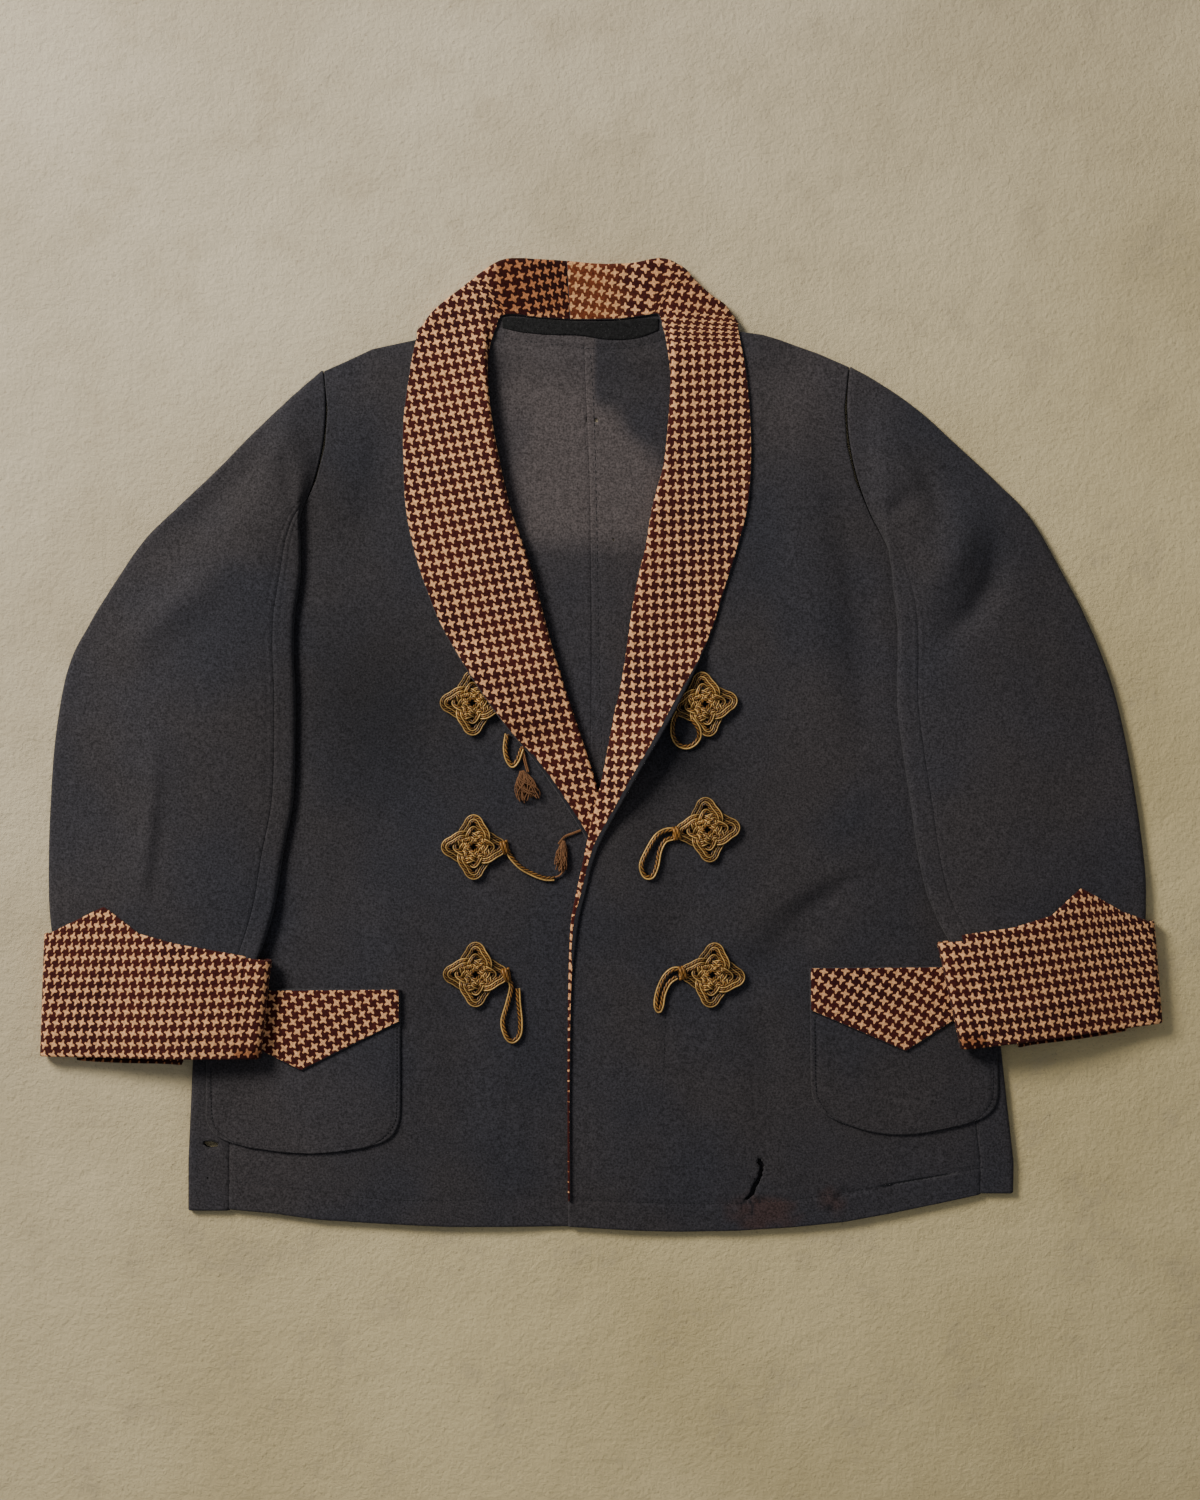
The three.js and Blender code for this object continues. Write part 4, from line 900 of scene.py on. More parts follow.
def frog_loop(frog):
    """The loop of a frog, a cord whose real length is printed."""
    name = frog["name"]
    route = []
    for x, y in LOOP_ROUTES[name]:
        over_knot = 0
        if name == "left_top":
            over_knot = OVER_KNOT * (1 - smooth(math.hypot(x - frog["x"], y - frog["y"]), 20, 31))
        route.append((x, y, top_of(frog["side"], x, y) + FROG_GAP + LOOP_CORD / 2 - 0.5 + over_knot))
    length = lengths_along(curve_through(route, 200))[-1]
    path = curve_through(route, max(60, int(length / LOOP_STEP)))
    parts = paired_cord(beside(path, -0.5), LOOP_PLY, LOOP_GIMP)
    obj = add_cords("loop_" + name, parts)
    ride(obj, "cord", "frog_loop_" + name)
    placed = in_metres(path)
    print("cord", obj.name, round(float(length), 1))


# A knot is two closed leads of cord. Each table runs out at the tip of one lobe, in along one side, round the
# middle, and out to the next lobe, three quarters of a turn on.
OUTER_LOBE = [
    (22.9, 0), (21.3, 3.2), (17.3, 5.4), (10.0, 9.6), (1.2, 8.2), (-3.3, 3.3), (-8.2, -1.2), (-9.6, -10.0),
    (-5.4, -17.3), (-3.2, -21.3),
]
INNER_LOBE = [
    (15.2, 0), (13.6, 2.3), (8.6, 5.0), (3.4, 5.8), (-1.9, 3.2), (-3.2, 1.9), (-5.8, -3.4), (-5.0, -8.6),
    (-2.3, -13.6),
]
KNOT_LOBES = 4
KNOT_LEADS = [
    {"lobe": OUTER_LOBE, "steps": 450, "tracks": [1.45, -1.95]},
    {"lobe": INNER_LOBE, "steps": 300, "tracks": [-0.3]},
]
KNOT_PLY = 1.2
KNOT_GIMP = 0.58
KNOT_HEIGHT = 1.4  # from the gap over the cloth to the middle of the lowest cord
KNOT_LIFT = 1.35  # half the height by which one lead passes over another
KNOT_SHADE = 0.55  # painted shade: how much darker a lead is where it passes under another


def inside(x, y, outline):
    """Whether a place in plan lies within a closed outline."""
    found = False
    for (ax, ay), (bx, by) in zip(outline, outline[1:] + outline[:1]):
        if (ay > y) != (by > y) and x < (bx - ax) * (y - ay) / (by - ay) + ax:
            found = not found
    return found


def knot_lead(lead):
    """The closed path of one lead, flat and evenly stepped."""
    points = []
    for lobe in range(KNOT_LOBES):
        turn = math.radians(-90 * lobe)
        for x, y in lead["lobe"]:
            points.append((
                x * math.cos(turn) - y * math.sin(turn),
                x * math.sin(turn) + y * math.cos(turn),
                0,
            ))
    return evenly_round(closed_curve(points, lead["steps"]), lead["steps"])[:, :2]


def meetings(starts, ways, first, second):
    """How far along each of two segments they cross, as shares of their lengths."""
    gap = starts[second] - starts[first]
    turn = ways[first, 0] * ways[second, 1] - ways[first, 1] * ways[second, 0]
    turn = np.where(np.abs(turn) < TINY, FAR, turn)
    on_first = (gap[:, 0] * ways[second, 1] - gap[:, 1] * ways[second, 0]) / turn
    on_second = (gap[:, 0] * ways[first, 1] - gap[:, 1] * ways[first, 0]) / turn
    return on_first, on_second


def laced(leads):
    """How closed leads pass over, 1, and under, -1, each other and themselves by turns."""
    starts = np.concatenate(leads)
    ways = np.concatenate([np.roll(lead, -1, 0) - lead for lead in leads])
    first, second = np.triu_indices(len(starts), 3)
    on_first, on_second = meetings(starts, ways, first, second)
    crossed = (on_first > 0) & (on_first < 1) & (on_second > 0) & (on_second < 1)
    marks = [{} for _ in starts]
    outlines = [lead.tolist() for lead in leads]
    for i, j, share in zip(first[crossed], second[crossed], on_first[crossed]):
        at = starts[i] + ways[i] * share
        between = at + 0.05 * (ways[i] / np.linalg.norm(ways[i]) + ways[j] / np.linalg.norm(ways[j]))
        dark = sum(inside(between[0], between[1], outline) for outline in outlines) % 2 == 1
        turns_left = ways[i, 0] * ways[j, 1] - ways[i, 1] * ways[j, 0] > 0
        over = 1 if dark == turns_left else -1
        marks[i]["over"] = over
        marks[j]["over"] = -over
    heights = []
    base = 0
    for lead in leads:
        count = len(lead)
        places = [k for k in range(count) if "over" in marks[base + k]]
        values = [marks[base + k]["over"] for k in places]
        heights.append(np.sin(np.interp(np.arange(count), places, values, period=count) * math.pi / 2))
        base += count
    return heights


KNOT_PATHS = [knot_lead(lead) for lead in KNOT_LEADS]
KNOT_OVER = laced(KNOT_PATHS)


def frog_knot(frog):
    """A knot whose two leads are laced over and under each other."""
    turn = math.radians(frog["turn"])
    parts = []
    for lead, flat, over in zip(KNOT_LEADS, KNOT_PATHS, KNOT_OVER):
        x = frog["x"] + flat[:, 0] * math.cos(turn) - flat[:, 1] * math.sin(turn)
        y = frog["y"] + flat[:, 0] * math.sin(turn) + flat[:, 1] * math.cos(turn)
        base = np.array([top_of(frog["side"], px, py) for px, py in zip(x, y)])
        path = np.stack([x, y, base + FROG_GAP + KNOT_HEIGHT + KNOT_LIFT * (1 + over)], 1)
        for offset in lead["tracks"]:
            run = beside(path, offset, closed=True)
            for part in paired_cord(run, KNOT_PLY, KNOT_GIMP, closed=True):
                sides = len(part["dip"]) // len(run)
                # Painted shade where a lead passes under another
                below = np.repeat((1 - over) / 2, sides)
                part["dip"] = np.clip(part["dip"] + KNOT_SHADE * below, 0, 1)
                parts.append(part)
    ride(add_cords("knot_" + frog["name"], parts), "cord", "frog_knot_" + frog["name"])


WRAPS = table(["name", "side", "x", "y", "turn"], [
    ["right_middle", "right", -79, -84.8, 0],
    ["right_low", "right", -77.5, -188, 0],
    ["left_middle", "left", 59.5, -73.5, 180],
    ["left_low", "left", 64.5, -186.5, 180],
])


def frog_wrap(wrap):
    """Turns of cord that bind a loop where it leaves its knot."""
    turns = 2
    steps = 26
    pitch = 2.5
    half_width = 4.6
    half_height = 2.6
    cord = 1.25
    slant = 14
    centre_z = top_of(wrap["side"], wrap["x"], wrap["y"]) + FROG_GAP + half_height
    way = math.radians(wrap["turn"] + slant)
    points = []
    for i in range(turns * steps + 1):
        a = 2 * math.pi * i / steps
        reach = pitch * (i / (turns * steps) - 0.5) * turns
        across = half_width * math.cos(a)
        x = wrap["x"] + reach * math.cos(way) - across * math.sin(way)
        y = wrap["y"] + reach * math.sin(way) + across * math.cos(way)
        points.append((x, y, centre_z + half_height * math.sin(a)))
    ride(add_cords("wrap_" + wrap["name"], [bent_cord(points, cord, 8, GOLD, twisted=True)]), "cord")


def bent_cord(points, radius, sides, material, twisted=False):
    """A thread whose section turns with the path, for paths that rise steeply."""
    points = np.array(points, float)
    along = np.gradient(points, axis=0)
    along /= np.linalg.norm(along, axis=1, keepdims=True)
    across = np.cross(along[0], [0.3, 0.5, 0.8])
    corners = []
    for p, way in zip(points, along):
        across = across - way * np.dot(across, way)
        across /= np.linalg.norm(across)
        other = np.cross(way, across)
        for k in range(sides):
            a = 2 * math.pi * k / sides
            corners.append(p + radius * (math.cos(a) * across + math.sin(a) * other))
    faces = []
    for i in range(len(points) - 1):
        for k in range(sides):
            m = (k + 1) % sides
            faces.append((i * sides + k, i * sides + m, (i + 1) * sides + m, (i + 1) * sides + k))
    faces.append(tuple(reversed(range(sides))))
    faces.append(tuple((len(points) - 1) * sides + k for k in range(sides)))
    dip = np.zeros(len(corners))
    # Painted shade in the dips between the strands of a twisted thread
    if twisted:
        dip = 1 - strand_swell(points, np.arange(sides) * 2 * math.pi / sides, TWIST * radius).ravel()
    return {"corners": np.array(corners), "faces": faces, "material": material, "dip": dip}


FRAYED_KNOTS = table(["name", "x", "y", "halfWidth", "halfLength", "thick", "turn"], [
    ["right_top", -62, -35, 10, 12.5, 6, 15],
    ["right_middle", -33, -91.5, 5.5, 12, 6, -8],
])


FRAYED_STRAND = 0.5  # radius of a loose strand
FRAYED_STRANDS = 46
FRAYED_STEPS = 12


def frayed_knot(knot, seed):
    """A worn end of cord: loose strands that spring from its top, wind round each other and end anyhow."""
    chance = random.Random(seed)
    turn = math.radians(knot["turn"])
    base = top_of("right", knot["x"], knot["y"]) + GAP
    parts = []
    for _ in range(FRAYED_STRANDS):
        phase = chance.uniform(0, 2 * math.pi)
        wind = chance.uniform(-1.3, 1.3)
        reach = chance.uniform(0.35, 1.0)
        end = chance.uniform(0.62, 1.04)
        curl = chance.uniform(-1.5, 1.5)
        strand = []
        for i in range(FRAYED_STEPS + 1):
            f = i / FRAYED_STEPS * end
            along = (1 - 2 * f) * knot["halfLength"] + chance.uniform(-0.3, 0.3)
            body = (0.16 + 0.84 * math.sin(math.pi * min(f, 0.62) / 1.24) ** 1.2) * reach
            a = phase + wind * f * math.pi
            u = knot["halfWidth"] * body * math.cos(a) + curl * f * f
            z = base + knot["thick"] / 2 * (1 + 0.86 * body * math.sin(a))
            x = knot["x"] + u * math.cos(turn) - along * math.sin(turn)
            y = knot["y"] + u * math.sin(turn) + along * math.cos(turn)
            strand.append((x, y, z))
        parts.append(bent_cord(rounded(strand, 1), FRAYED_STRAND, 5, FRAYED, twisted=True))
    ride(add_cords("frayed_" + knot["name"], parts), "cord", "frog_frayed_" + knot["name"])


TAILS = {
    "tail_right_middle": [(-36, -82), (-31, -76), (-24, -73), (-17.5, -70.5)],
    "thread_right_middle": [(-39, -109), (-35, -107.5), (-31, -103), (-30, -99)],
    "tail_right_top": [(-60, -24), (-62, -17), (-64, -8), (-65, -3)],
}


def frayed_tail(name, route):
    """Two or four loose strands that run side by side."""
    points = [(x, y, top_of("right", x, y) + 1.8) for x, y in route]
    path = curve_through(points, 26)
    chance = random.Random(len(name))
    parts = []
    for k in range(4 if name.startswith("tail") else 2):
        drift = chance.uniform(-1.2, 1.2)
        run = beside(path, drift, chance.uniform(-0.3, 0.6))
        parts.append(bent_cord(run, FRAYED_STRAND, 5, FRAYED))
    ride(add_cords(name, parts), "cord")


for frog in FROGS:
    frog_loop(frog)
for frog in FROGS:
    frog_knot(frog)
for wrap in WRAPS:
    frog_wrap(wrap)
for number, knot in enumerate(FRAYED_KNOTS):
    frayed_knot(knot, 11 + number)
for name, route in TAILS.items():
    frayed_tail(name, route)


# Body panels
def bulge(line, start, end, x):
    """How far a curved line lies above the straight one between two points, at one x."""
    share = clamp((x - start[0]) / (end[0] - start[0]), 0, 1)
    return line(x) - mix(start[1], end[1], share)


def panel_point(ends, across, up, hem_line, bottom, top):
    """A panel's point: straight across between its edges, with the hem and shoulder lines put in."""
    x = mix(ends[0][0], ends[1][0], across)
    straight = mix(ends[0][1], ends[1][1], across)
    hem = bulge(hem_line, *bottom, x) * (1 - up) ** 6
    shoulder = bulge(shoulder_y, *top, x) * up ** 8
    return x, straight + hem + shoulder


BACK_ROWS = table(["centreX", "centreY", "edgeY"], [
    [-15, -388, -379],
    [-15, -320, -310],
    [-13.5, -240, -230],
    [-12, -160, -150],
    [-10.5, -80, -70],
    [-9.5, 0, 10],
    [-9, 70, 80],
    [-9, 115, 111],
    [-9.5, 150, 150],
    [-10, 195, 190],
    [-11.5, 245, 235],
    [-14, 300, 275],
    [-15, 351, 301],
])

# Worn places that go right through the cloth
HIP_HOLE = [(-324, -323), (-317, -322.6), (-311, -324.5), (-311.5, -329), (-319, -329.6), (-324.5, -327.4)]
HIP_HOLE_ROWS = (0.066, 0.088, 14)  # finer rows of the back, from and to which share of its height
HEM_TEAR = [
    (125.4, -336.2), (129.2, -336.8), (130.4, -341), (132.4, -342.5), (130.8, -345), (130.3, -351),
    (127.4, -358), (125.4, -361), (123.6, -367), (117.4, -371.8), (113.6, -370.6), (118.8, -365),
    (120.6, -360), (121.8, -357), (125.6, -351), (126.8, -344), (124.8, -341),
]
TEAR_ROWS = (0.0, 0.08, 44)  # finer rows and columns of the front at the tear
TEAR_COLUMNS = (0.425, 0.487, 20)
MOTH_HOLES = {
    "right": [(-320.5, -353.5, 1.8), (-12.6, 262, 1.9)],
    "left": [(-5, 262, 2.4), (8.5, 165, 2.1)],
}


def cut_holes(grid, outlines, reach=2.4):
    """Leaves out the cells inside the outlines, and brings the points round them onto the outlines."""
    rows, columns = grid.shape[:2]
    kept = np.ones((rows - 1, columns - 1), bool)
    centres = (grid[1:, 1:] + grid[:-1, :-1] + grid[1:, :-1] + grid[:-1, 1:]) / 4
    for outline in outlines:
        xs = [p[0] for p in outline]
        ys = [p[1] for p in outline]
        near = (centres[..., 0] > min(xs) - 3) & (centres[..., 0] < max(xs) + 3)
        near &= (centres[..., 1] > min(ys) - 3) & (centres[..., 1] < max(ys) + 3)
        gone = [(i, j) for i, j in np.argwhere(near) if inside(*centres[i, j, :2], outline)]
        if not gone:
            middle = np.array([sum(xs) / len(xs), sum(ys) / len(ys)])
            apart = np.linalg.norm(centres[..., :2] - middle, axis=2)
            gone = [np.unravel_index(apart.argmin(), apart.shape)]
        for i, j in gone:
            kept[i, j] = False
        for i, j in gone:
            for a, b in ((i, j), (i + 1, j), (i, j + 1), (i + 1, j + 1)):
                distance, _, px, py = nearest_on(*grid[a, b, :2], outline + outline[:1])
                if distance < reach:
                    grid[a, b, 0] = px
                    grid[a, b, 1] = py
    return kept


def with_extra(shares, low, high, count):
    """The shares with more of them between two places."""
    return np.unique(np.concatenate([shares, np.linspace(low, high, count)]))


def circle(x, y, radius):
    turns = [k * math.pi / 4 for k in range(8)]
    return [(x + radius * math.cos(turn), y + radius * math.sin(turn)) for turn in turns]


def back_ends(side, up):
    row = row_at(BACK_ROWS, up)
    edge_y = row["edgeY"] + (14 * (1 - smooth(up, 0, 0.1)) if side == "left" else 0)
    return (row["centreX"] + OUTWARD[side] * 0.1, row["centreY"]), (edge_x(side, edge_y), edge_y)


# Places where the wool is painted lighter, fading above 0, or darker, below 0; the darker ones are painted
# shade in the folds beside the right sleeve and armhole, and a painted shadow beside the lifted left lapel
LIGHTER_AND_SHADED_SPOTS = table(["x", "y", "reach", "fading"], [
    [160, 277, 50, 0.34],
    [338, 34, 110, 0.1],
    [395, -70, 70, 0.12],
    [160, 34, 80, 0.07],
    [14, -290, 60, 0.08],
    [-245, -298, 60, 0.13],
    [245, -330, 60, 0.05],
    [-188, 34, 75, -0.55],
    [-200, 190, 50, -0.3],
    [74, -16, 26, -0.6],
])


def lighter_or_shaded(x, y):
    amount = 0
    for spot in LIGHTER_AND_SHADED_SPOTS:
        amount += spot["fading"] * bell(math.hypot(x - spot["x"], y - spot["y"]), spot["reach"])
    return amount + 0.06 * noise.noise((x / 60, y / 60, 8.8))


def lighter_and_shade_paint(grid):
    """Lighter places and painted shade of the wool, one value for each point of the grid."""
    amounts = at_points(grid, lighter_or_shaded)
    # worn holds the lighter places, and dark holds the painted shade and shadow
    return {"worn": np.maximum(amounts, 0), "dark": np.maximum(-amounts, 0)}


def back_faded(x, y):
    """The back's cloth is browner and paler inside the neck, and keeps its blue at the upper left side."""
    diagonal = y - (280 - 0.97 * (x + 6))
    uneven = 14 * noise.noise((x / 30, y / 30, 6.1))
    blue = smooth(diagonal + uneven, -16, 18) * smooth(x, -11, -3)
    low = 1 - smooth(y, 146, 178)
    edge = smooth(-60 - x + uneven, -10, 30)
    high = smooth(y, 262, 318)
    return 0.85 * (1 - max(blue, 0.9 * low, 0.8 * edge, 0.35 * high))


SEAM_DIP = 0.9  # how deep the cloth sinks in at a side seam
SEAM_WIDTH = 1.6


def back_flat(side, up):
    """One row of the back from the centre seam to where it starts to turn up at the side."""
    steps = 58
    fold_width = 5
    ends = back_ends(side, up)
    centre, edge = ends

    def hem_line(x):
        return hem_y(x) + BACK_SHORTER * smooth(abs(x - edge[0]), 0, 40)

    line = []
    for f in crowded(steps + 1, 0.7) * (1 - fold_width / abs(edge[0] - centre[0])):
        x, y = panel_point(ends, f, up, hem_line, back_ends(side, 0), back_ends(side, 1))
        groove = fold_height(x, y, BACK_GROOVES)
        line.append((x, y, neck_lift(x, y) + CLOTH / 2 + groove))
    return line


def back_fold(side, start, edge):
    """The rest of a row, round the fold at the side and on to the seam on the front."""
    steps = 20
    wrap = wrap_width(side, edge[1])
    turned = [start, (*edge, neck_lift(*edge) + CLOTH / 2)]
    if wrap > 0.5:
        seam = seam_x(side, edge[1])
        for share in (0, min(0.4, 4 / wrap), 0.6, 1):
            x = mix(edge[0], seam, share)
            turned.append((x, edge[1], front_under(x, edge[1]) + CLOTH / 2 + 0.6 * lumps(x, edge[1])))
    bent = evenly(rounded(turned, 3), steps + 1)
    if wrap > 0.5:
        along = lengths_along(bent)
        bent[:, 2] -= SEAM_DIP * np.exp(-((along[-1] - along) / SEAM_WIDTH) ** 2)
    return bent


def back_half(side):
    """Half of the back: flat to the side, then round the fold to the seam on the front."""
    rows = 150
    grid = []
    for up in with_extra(crowded(rows, 0.5), *HIP_HOLE_ROWS):
        flat = back_flat(side, up)
        edge = back_ends(side, up)[1]
        grid.append(np.vstack([np.array(flat[:-1]), back_fold(side, flat[-1], edge)]))
    return np.array(grid)


def add_back(side):
    grid = back_half(side)
    outlines = [circle(*hole) for hole in MOTH_HOLES[side]]
    if side == "right":
        outlines.append(HIP_HOLE)
    kept = cut_holes(grid, outlines)
    worn = [[back_faded(p[0], p[1]) if p[2] < 5 else 0 for p in line] for line in grid]
    obj = cloth("back_" + side, grid, [WOOL], kept=kept, paint={"worn": worn})
    ride(obj, "wool", "back_" + side)
    declare_cloth(grid)


FRONT_ROWS = {
    "right": table(["innerX", "innerY", "outerY"], [
        [34, -391, -378],
        [34, -310, -300],
        [33, -230, -215],
        [27, -160, -130],
        [9, -95, -50],
        [-13, -20, 34],
        [-47, 78, 90],
        [-55, 108, 111],
        [-65, 144, 136],
        [-77, 185, 163],
        [-88, 225, 195],
        [-94.5, 263, 230],
        [-97.5, 300, 262],
        [-98, 348, 301],
    ]),
    "left": table(["innerX", "innerY", "outerY"], [
        [-27, -392, -366],
        [-27.5, -310, -300],
        [-26.5, -230, -215],
        [-22.5, -158, -140],
        [-11.5, -95, -70],
        [4, -35, 10],
        [20, 40, 60],
        [25, 78, 90],
        [29, 108, 111],
        [35, 144, 136],
        [43, 180, 163],
        [53, 220, 200],
        [58.5, 265, 237],
        [60, 305, 268],
        [60, 348, 303],
    ]),
}


def front_ends(side, up):
    roll_inset = 1.2
    row = row_at(FRONT_ROWS[side], up)
    inset = roll_inset * smooth(row["innerY"], -170, -120)
    return (
        (row["innerX"] + OUTWARD[side] * inset, row["innerY"]),
        (seam_x(side, row["outerY"]) - OUTWARD[side] * SEAM_GAP, row["outerY"]),
    )


def hem_stain(x, y):
    """Rust-brown stains below the tear and at the frayed place beside it."""
    uneven = 0.5 * noise.noise((x / 9, y / 9, 2.2))
    at_tear = math.hypot((x - 130) / 30, (y + 381) / 17) + uneven
    at_fray = math.hypot((x - 186) / 12, (y + 372) / 13) + uneven
    return 0.42 * max(1 - smooth(at_tear, 0.3, 1.2), 0.8 * (1 - smooth(at_fray, 0.3, 1.1)))


DARK_WORN = table(["width", "path"], [
    [1.5, [(194, -361), (187, -371), (182, -379)]],
    [1.2, [(116, -370), (112, -375), (111, -381), (112, -388), (110.5, -394)]],
    [0.9, [(119, -371), (122, -375), (121, -382)]],
    [0.8, [(122, -366), (127, -369), (128, -373)]],
])


def hem_dark(x, y):
    """Thin cracks and a frayed spot near the tear, where the cloth is nearly worn through."""
    if not (105 < x < 200 and y < -350):
        return 0
    found = 0
    for crack in DARK_WORN:
        found = max(found, bell(nearest_on(x, y, crack["path"])[0], crack["width"]))
    return 0.9 * found


def front(side):
    """One front, from its front edge and roll line to the side seam and armhole."""
    rows = 180
    columns = 88
    ups = crowded(rows, 0.45)
    acrosses = crowded(columns, 0.55)
    if side == "left":
        ups = with_extra(ups, *TEAR_ROWS)
        acrosses = with_extra(acrosses, *TEAR_COLUMNS)
    bottom = front_ends(side, 0)
    top = front_ends(side, 1)
    grid = []
    for up in ups:
        ends = front_ends(side, up)
        line = []
        for f in acrosses:
            x, y = panel_point(ends, f, up, hem_y, bottom, top)
            seam = abs(x - ends[1][0])
            dip = -SEAM_DIP * bell(seam, SEAM_WIDTH) * (1 - smooth(y, 85, 110))
            z = under_of(side, x, y) + CLOTH / 2 + surface_detail(x, y) + dip
            line.append((x, y, z))
        grid.append(line)
    return np.array(grid)


def add_front(side):
    grid = front(side)
    kept = cut_holes(grid, [HEM_TEAR] if side == "left" else [])
    paint = lighter_and_shade_paint(grid)
    # The dark paint holds worn-through cracks near the tear and the painted shade of the folds and beside the
    # left lapel
    paint.update(rust=at_points(grid, hem_stain), dark=np.maximum(at_points(grid, hem_dark), paint["dark"]))
    obj = cloth("front_" + side, grid, [WOOL], kept=kept, paint=paint)
    ride(obj, "wool", "front_" + side)
    declare_cloth(grid)


# Patch pockets with rounded lower corners, and the pointed trims on them
POCKET_ROWS = {
    "right": table(["insideX", "outsideX", "y", "dip"], [
        [-164, -318, -200, 0],
        [-164, -320, -250, 0],
        [-164, -320.5, -290, 0],
        [-165, -320, -306, -1],
        [-171, -312, -318, -4],
        [-184, -296, -325, -6],
        [-206, -272, -329, -3],
    ]),
    "left": table(["insideX", "outsideX", "y", "dip"], [
        [168, 316, -183, 0],
        [169, 318.5, -235, 0],
        [169.5, 320, -276, 0],
        [172, 319, -290, -3],
        [179, 314, -299, -6],
        [191, 302, -306, -8],
        [212, 270, -313, -4],
    ]),
}
POCKET_BASE = GAP


def pocket_grid(side, rows=64, columns=64):
    grid = []
    for up in crowded(rows, 0.5):
        row = row_at(POCKET_ROWS[side], up)
        line = []
        for across in crowded(columns, 0.6):
            x = mix(row["insideX"], row["outsideX"], across)
            y = row["y"] + row["dip"] * 4 * across * (1 - across)
            edge = min(across, 1 - across) * abs(row["outsideX"] - row["insideX"])
            foot = (1 - up) * 132
            rim = min(edge, foot) if up > 0.5 else edge
            puff = 0.5 * smooth(rim, 1.5, 9) - 0.35 * bell(rim - 4.5, 1.2)
            z = top_of(side, x, y) + POCKET_BASE + CLOTH / 2 + puff
            line.append((x, y, z))
        grid.append(line)
    return np.array(grid)


TRIM_EDGE = {
    "right": table(["x", "top", "bottom"], [
        [-164.5, -199.5, -225],
        [-204, -200, -244.5],
        [-243.5, -200.5, -264.5],
        [-280, -200.5, -247],
        [-317.5, -200.5, -225],
    ]),
    "left": table(["x", "top", "bottom"], [
        [168.5, -182.5, -216],
        [207, -182.2, -232.5],
        [245, -182, -249],
        [281, -181.7, -226],
        [315.5, -181.5, -205],
    ]),
}
CHECK_SIZE = 7.7  # one repeat of the check
TRIM_TURN = {"right": 24, "left": -26}


def check_place(x, y, degrees, stretch=1.08):
    """A point's place on the checked cloth, in repeats, for a cut turned by some degrees."""
    a = math.radians(degrees)
    u = x * math.cos(a) + y * math.sin(a)
    v = y * math.cos(a) - x * math.sin(a)
    return u / CHECK_SIZE, v / (CHECK_SIZE * stretch)


def trim_grid(side):
    half_steps = 34
    deep_steps = 30
    corners = TRIM_EDGE[side]
    grid = []
    for i in range(2 * half_steps + 1):
        at = i / (2 * half_steps) * (len(corners) - 1)
        k = min(int(at), len(corners) - 2)
        edge = {name: mix(corners[k][name], corners[k + 1][name], at - k) for name in ("x", "top", "bottom")}
        line = []
        for f in crowded(deep_steps + 1, 0.4):
            y = mix(edge["top"], edge["bottom"], f)
            z = top_of(side, edge["x"], y) + POCKET_BASE + CLOTH + GAP + CLOTH / 2 + 0.5
            line.append((edge["x"], y, z))
        grid.append(line)
    return np.array(grid)


def add_pocket(side):
    grid = pocket_grid(side)
    obj = cloth("pocket_" + side, grid, [WOOL], paint=lighter_and_shade_paint(grid))
    ride(obj, "wool", "pocket_" + side)
    declare_cloth(grid)
    grid = trim_grid(side)
    uv = at_points(grid, lambda x, y: check_place(x, y, TRIM_TURN[side]))
    obj = cloth("pocket_trim_" + side, grid, [CHECK, WOOL], uv=uv, turned=grid_turned(grid))
    ride(obj, "check", "pocket_trim_" + side)
    declare_cloth(grid)


def grid_turned(grid):
    """Whether the face that the grid's turning direction calls outer is the lower one."""
    a, b, c = grid[0, 0], grid[0, 1], grid[1, 0]
    return bool(np.cross(b - a, c - a)[2] < 0)


# Sleeves
POCKET_TOP = {"right": -200, "left": -183}
ARMHOLE_END = {"right": 184, "left": 163}


def support(side, x, y):
    """Height of what a sleeve lies on: the floor, or the body with its pocket and trim."""
    below_armhole = 1 - smooth(y, ARMHOLE_END[side] + 6, ARMHOLE_END[side] + 20)
    edge = edge_x(side, y)
    outside = (x - edge) * OUTWARD[side]
    reach = 1 - smooth(outside, 8, 36)
    if below_armhole * reach == 0:
        return 0
    on_x = edge if outside > 0 else x
    top = POCKET_TOP[side]
    on_pocket = (1 - smooth(y, top + 4, top + 44)) * (1 - smooth(abs(x), 334, 350))
    body = under_of(side, on_x, y) + CLOTH + REST_GAP + (2 * LAYER + GAP) * on_pocket
    return body * reach * below_armhole


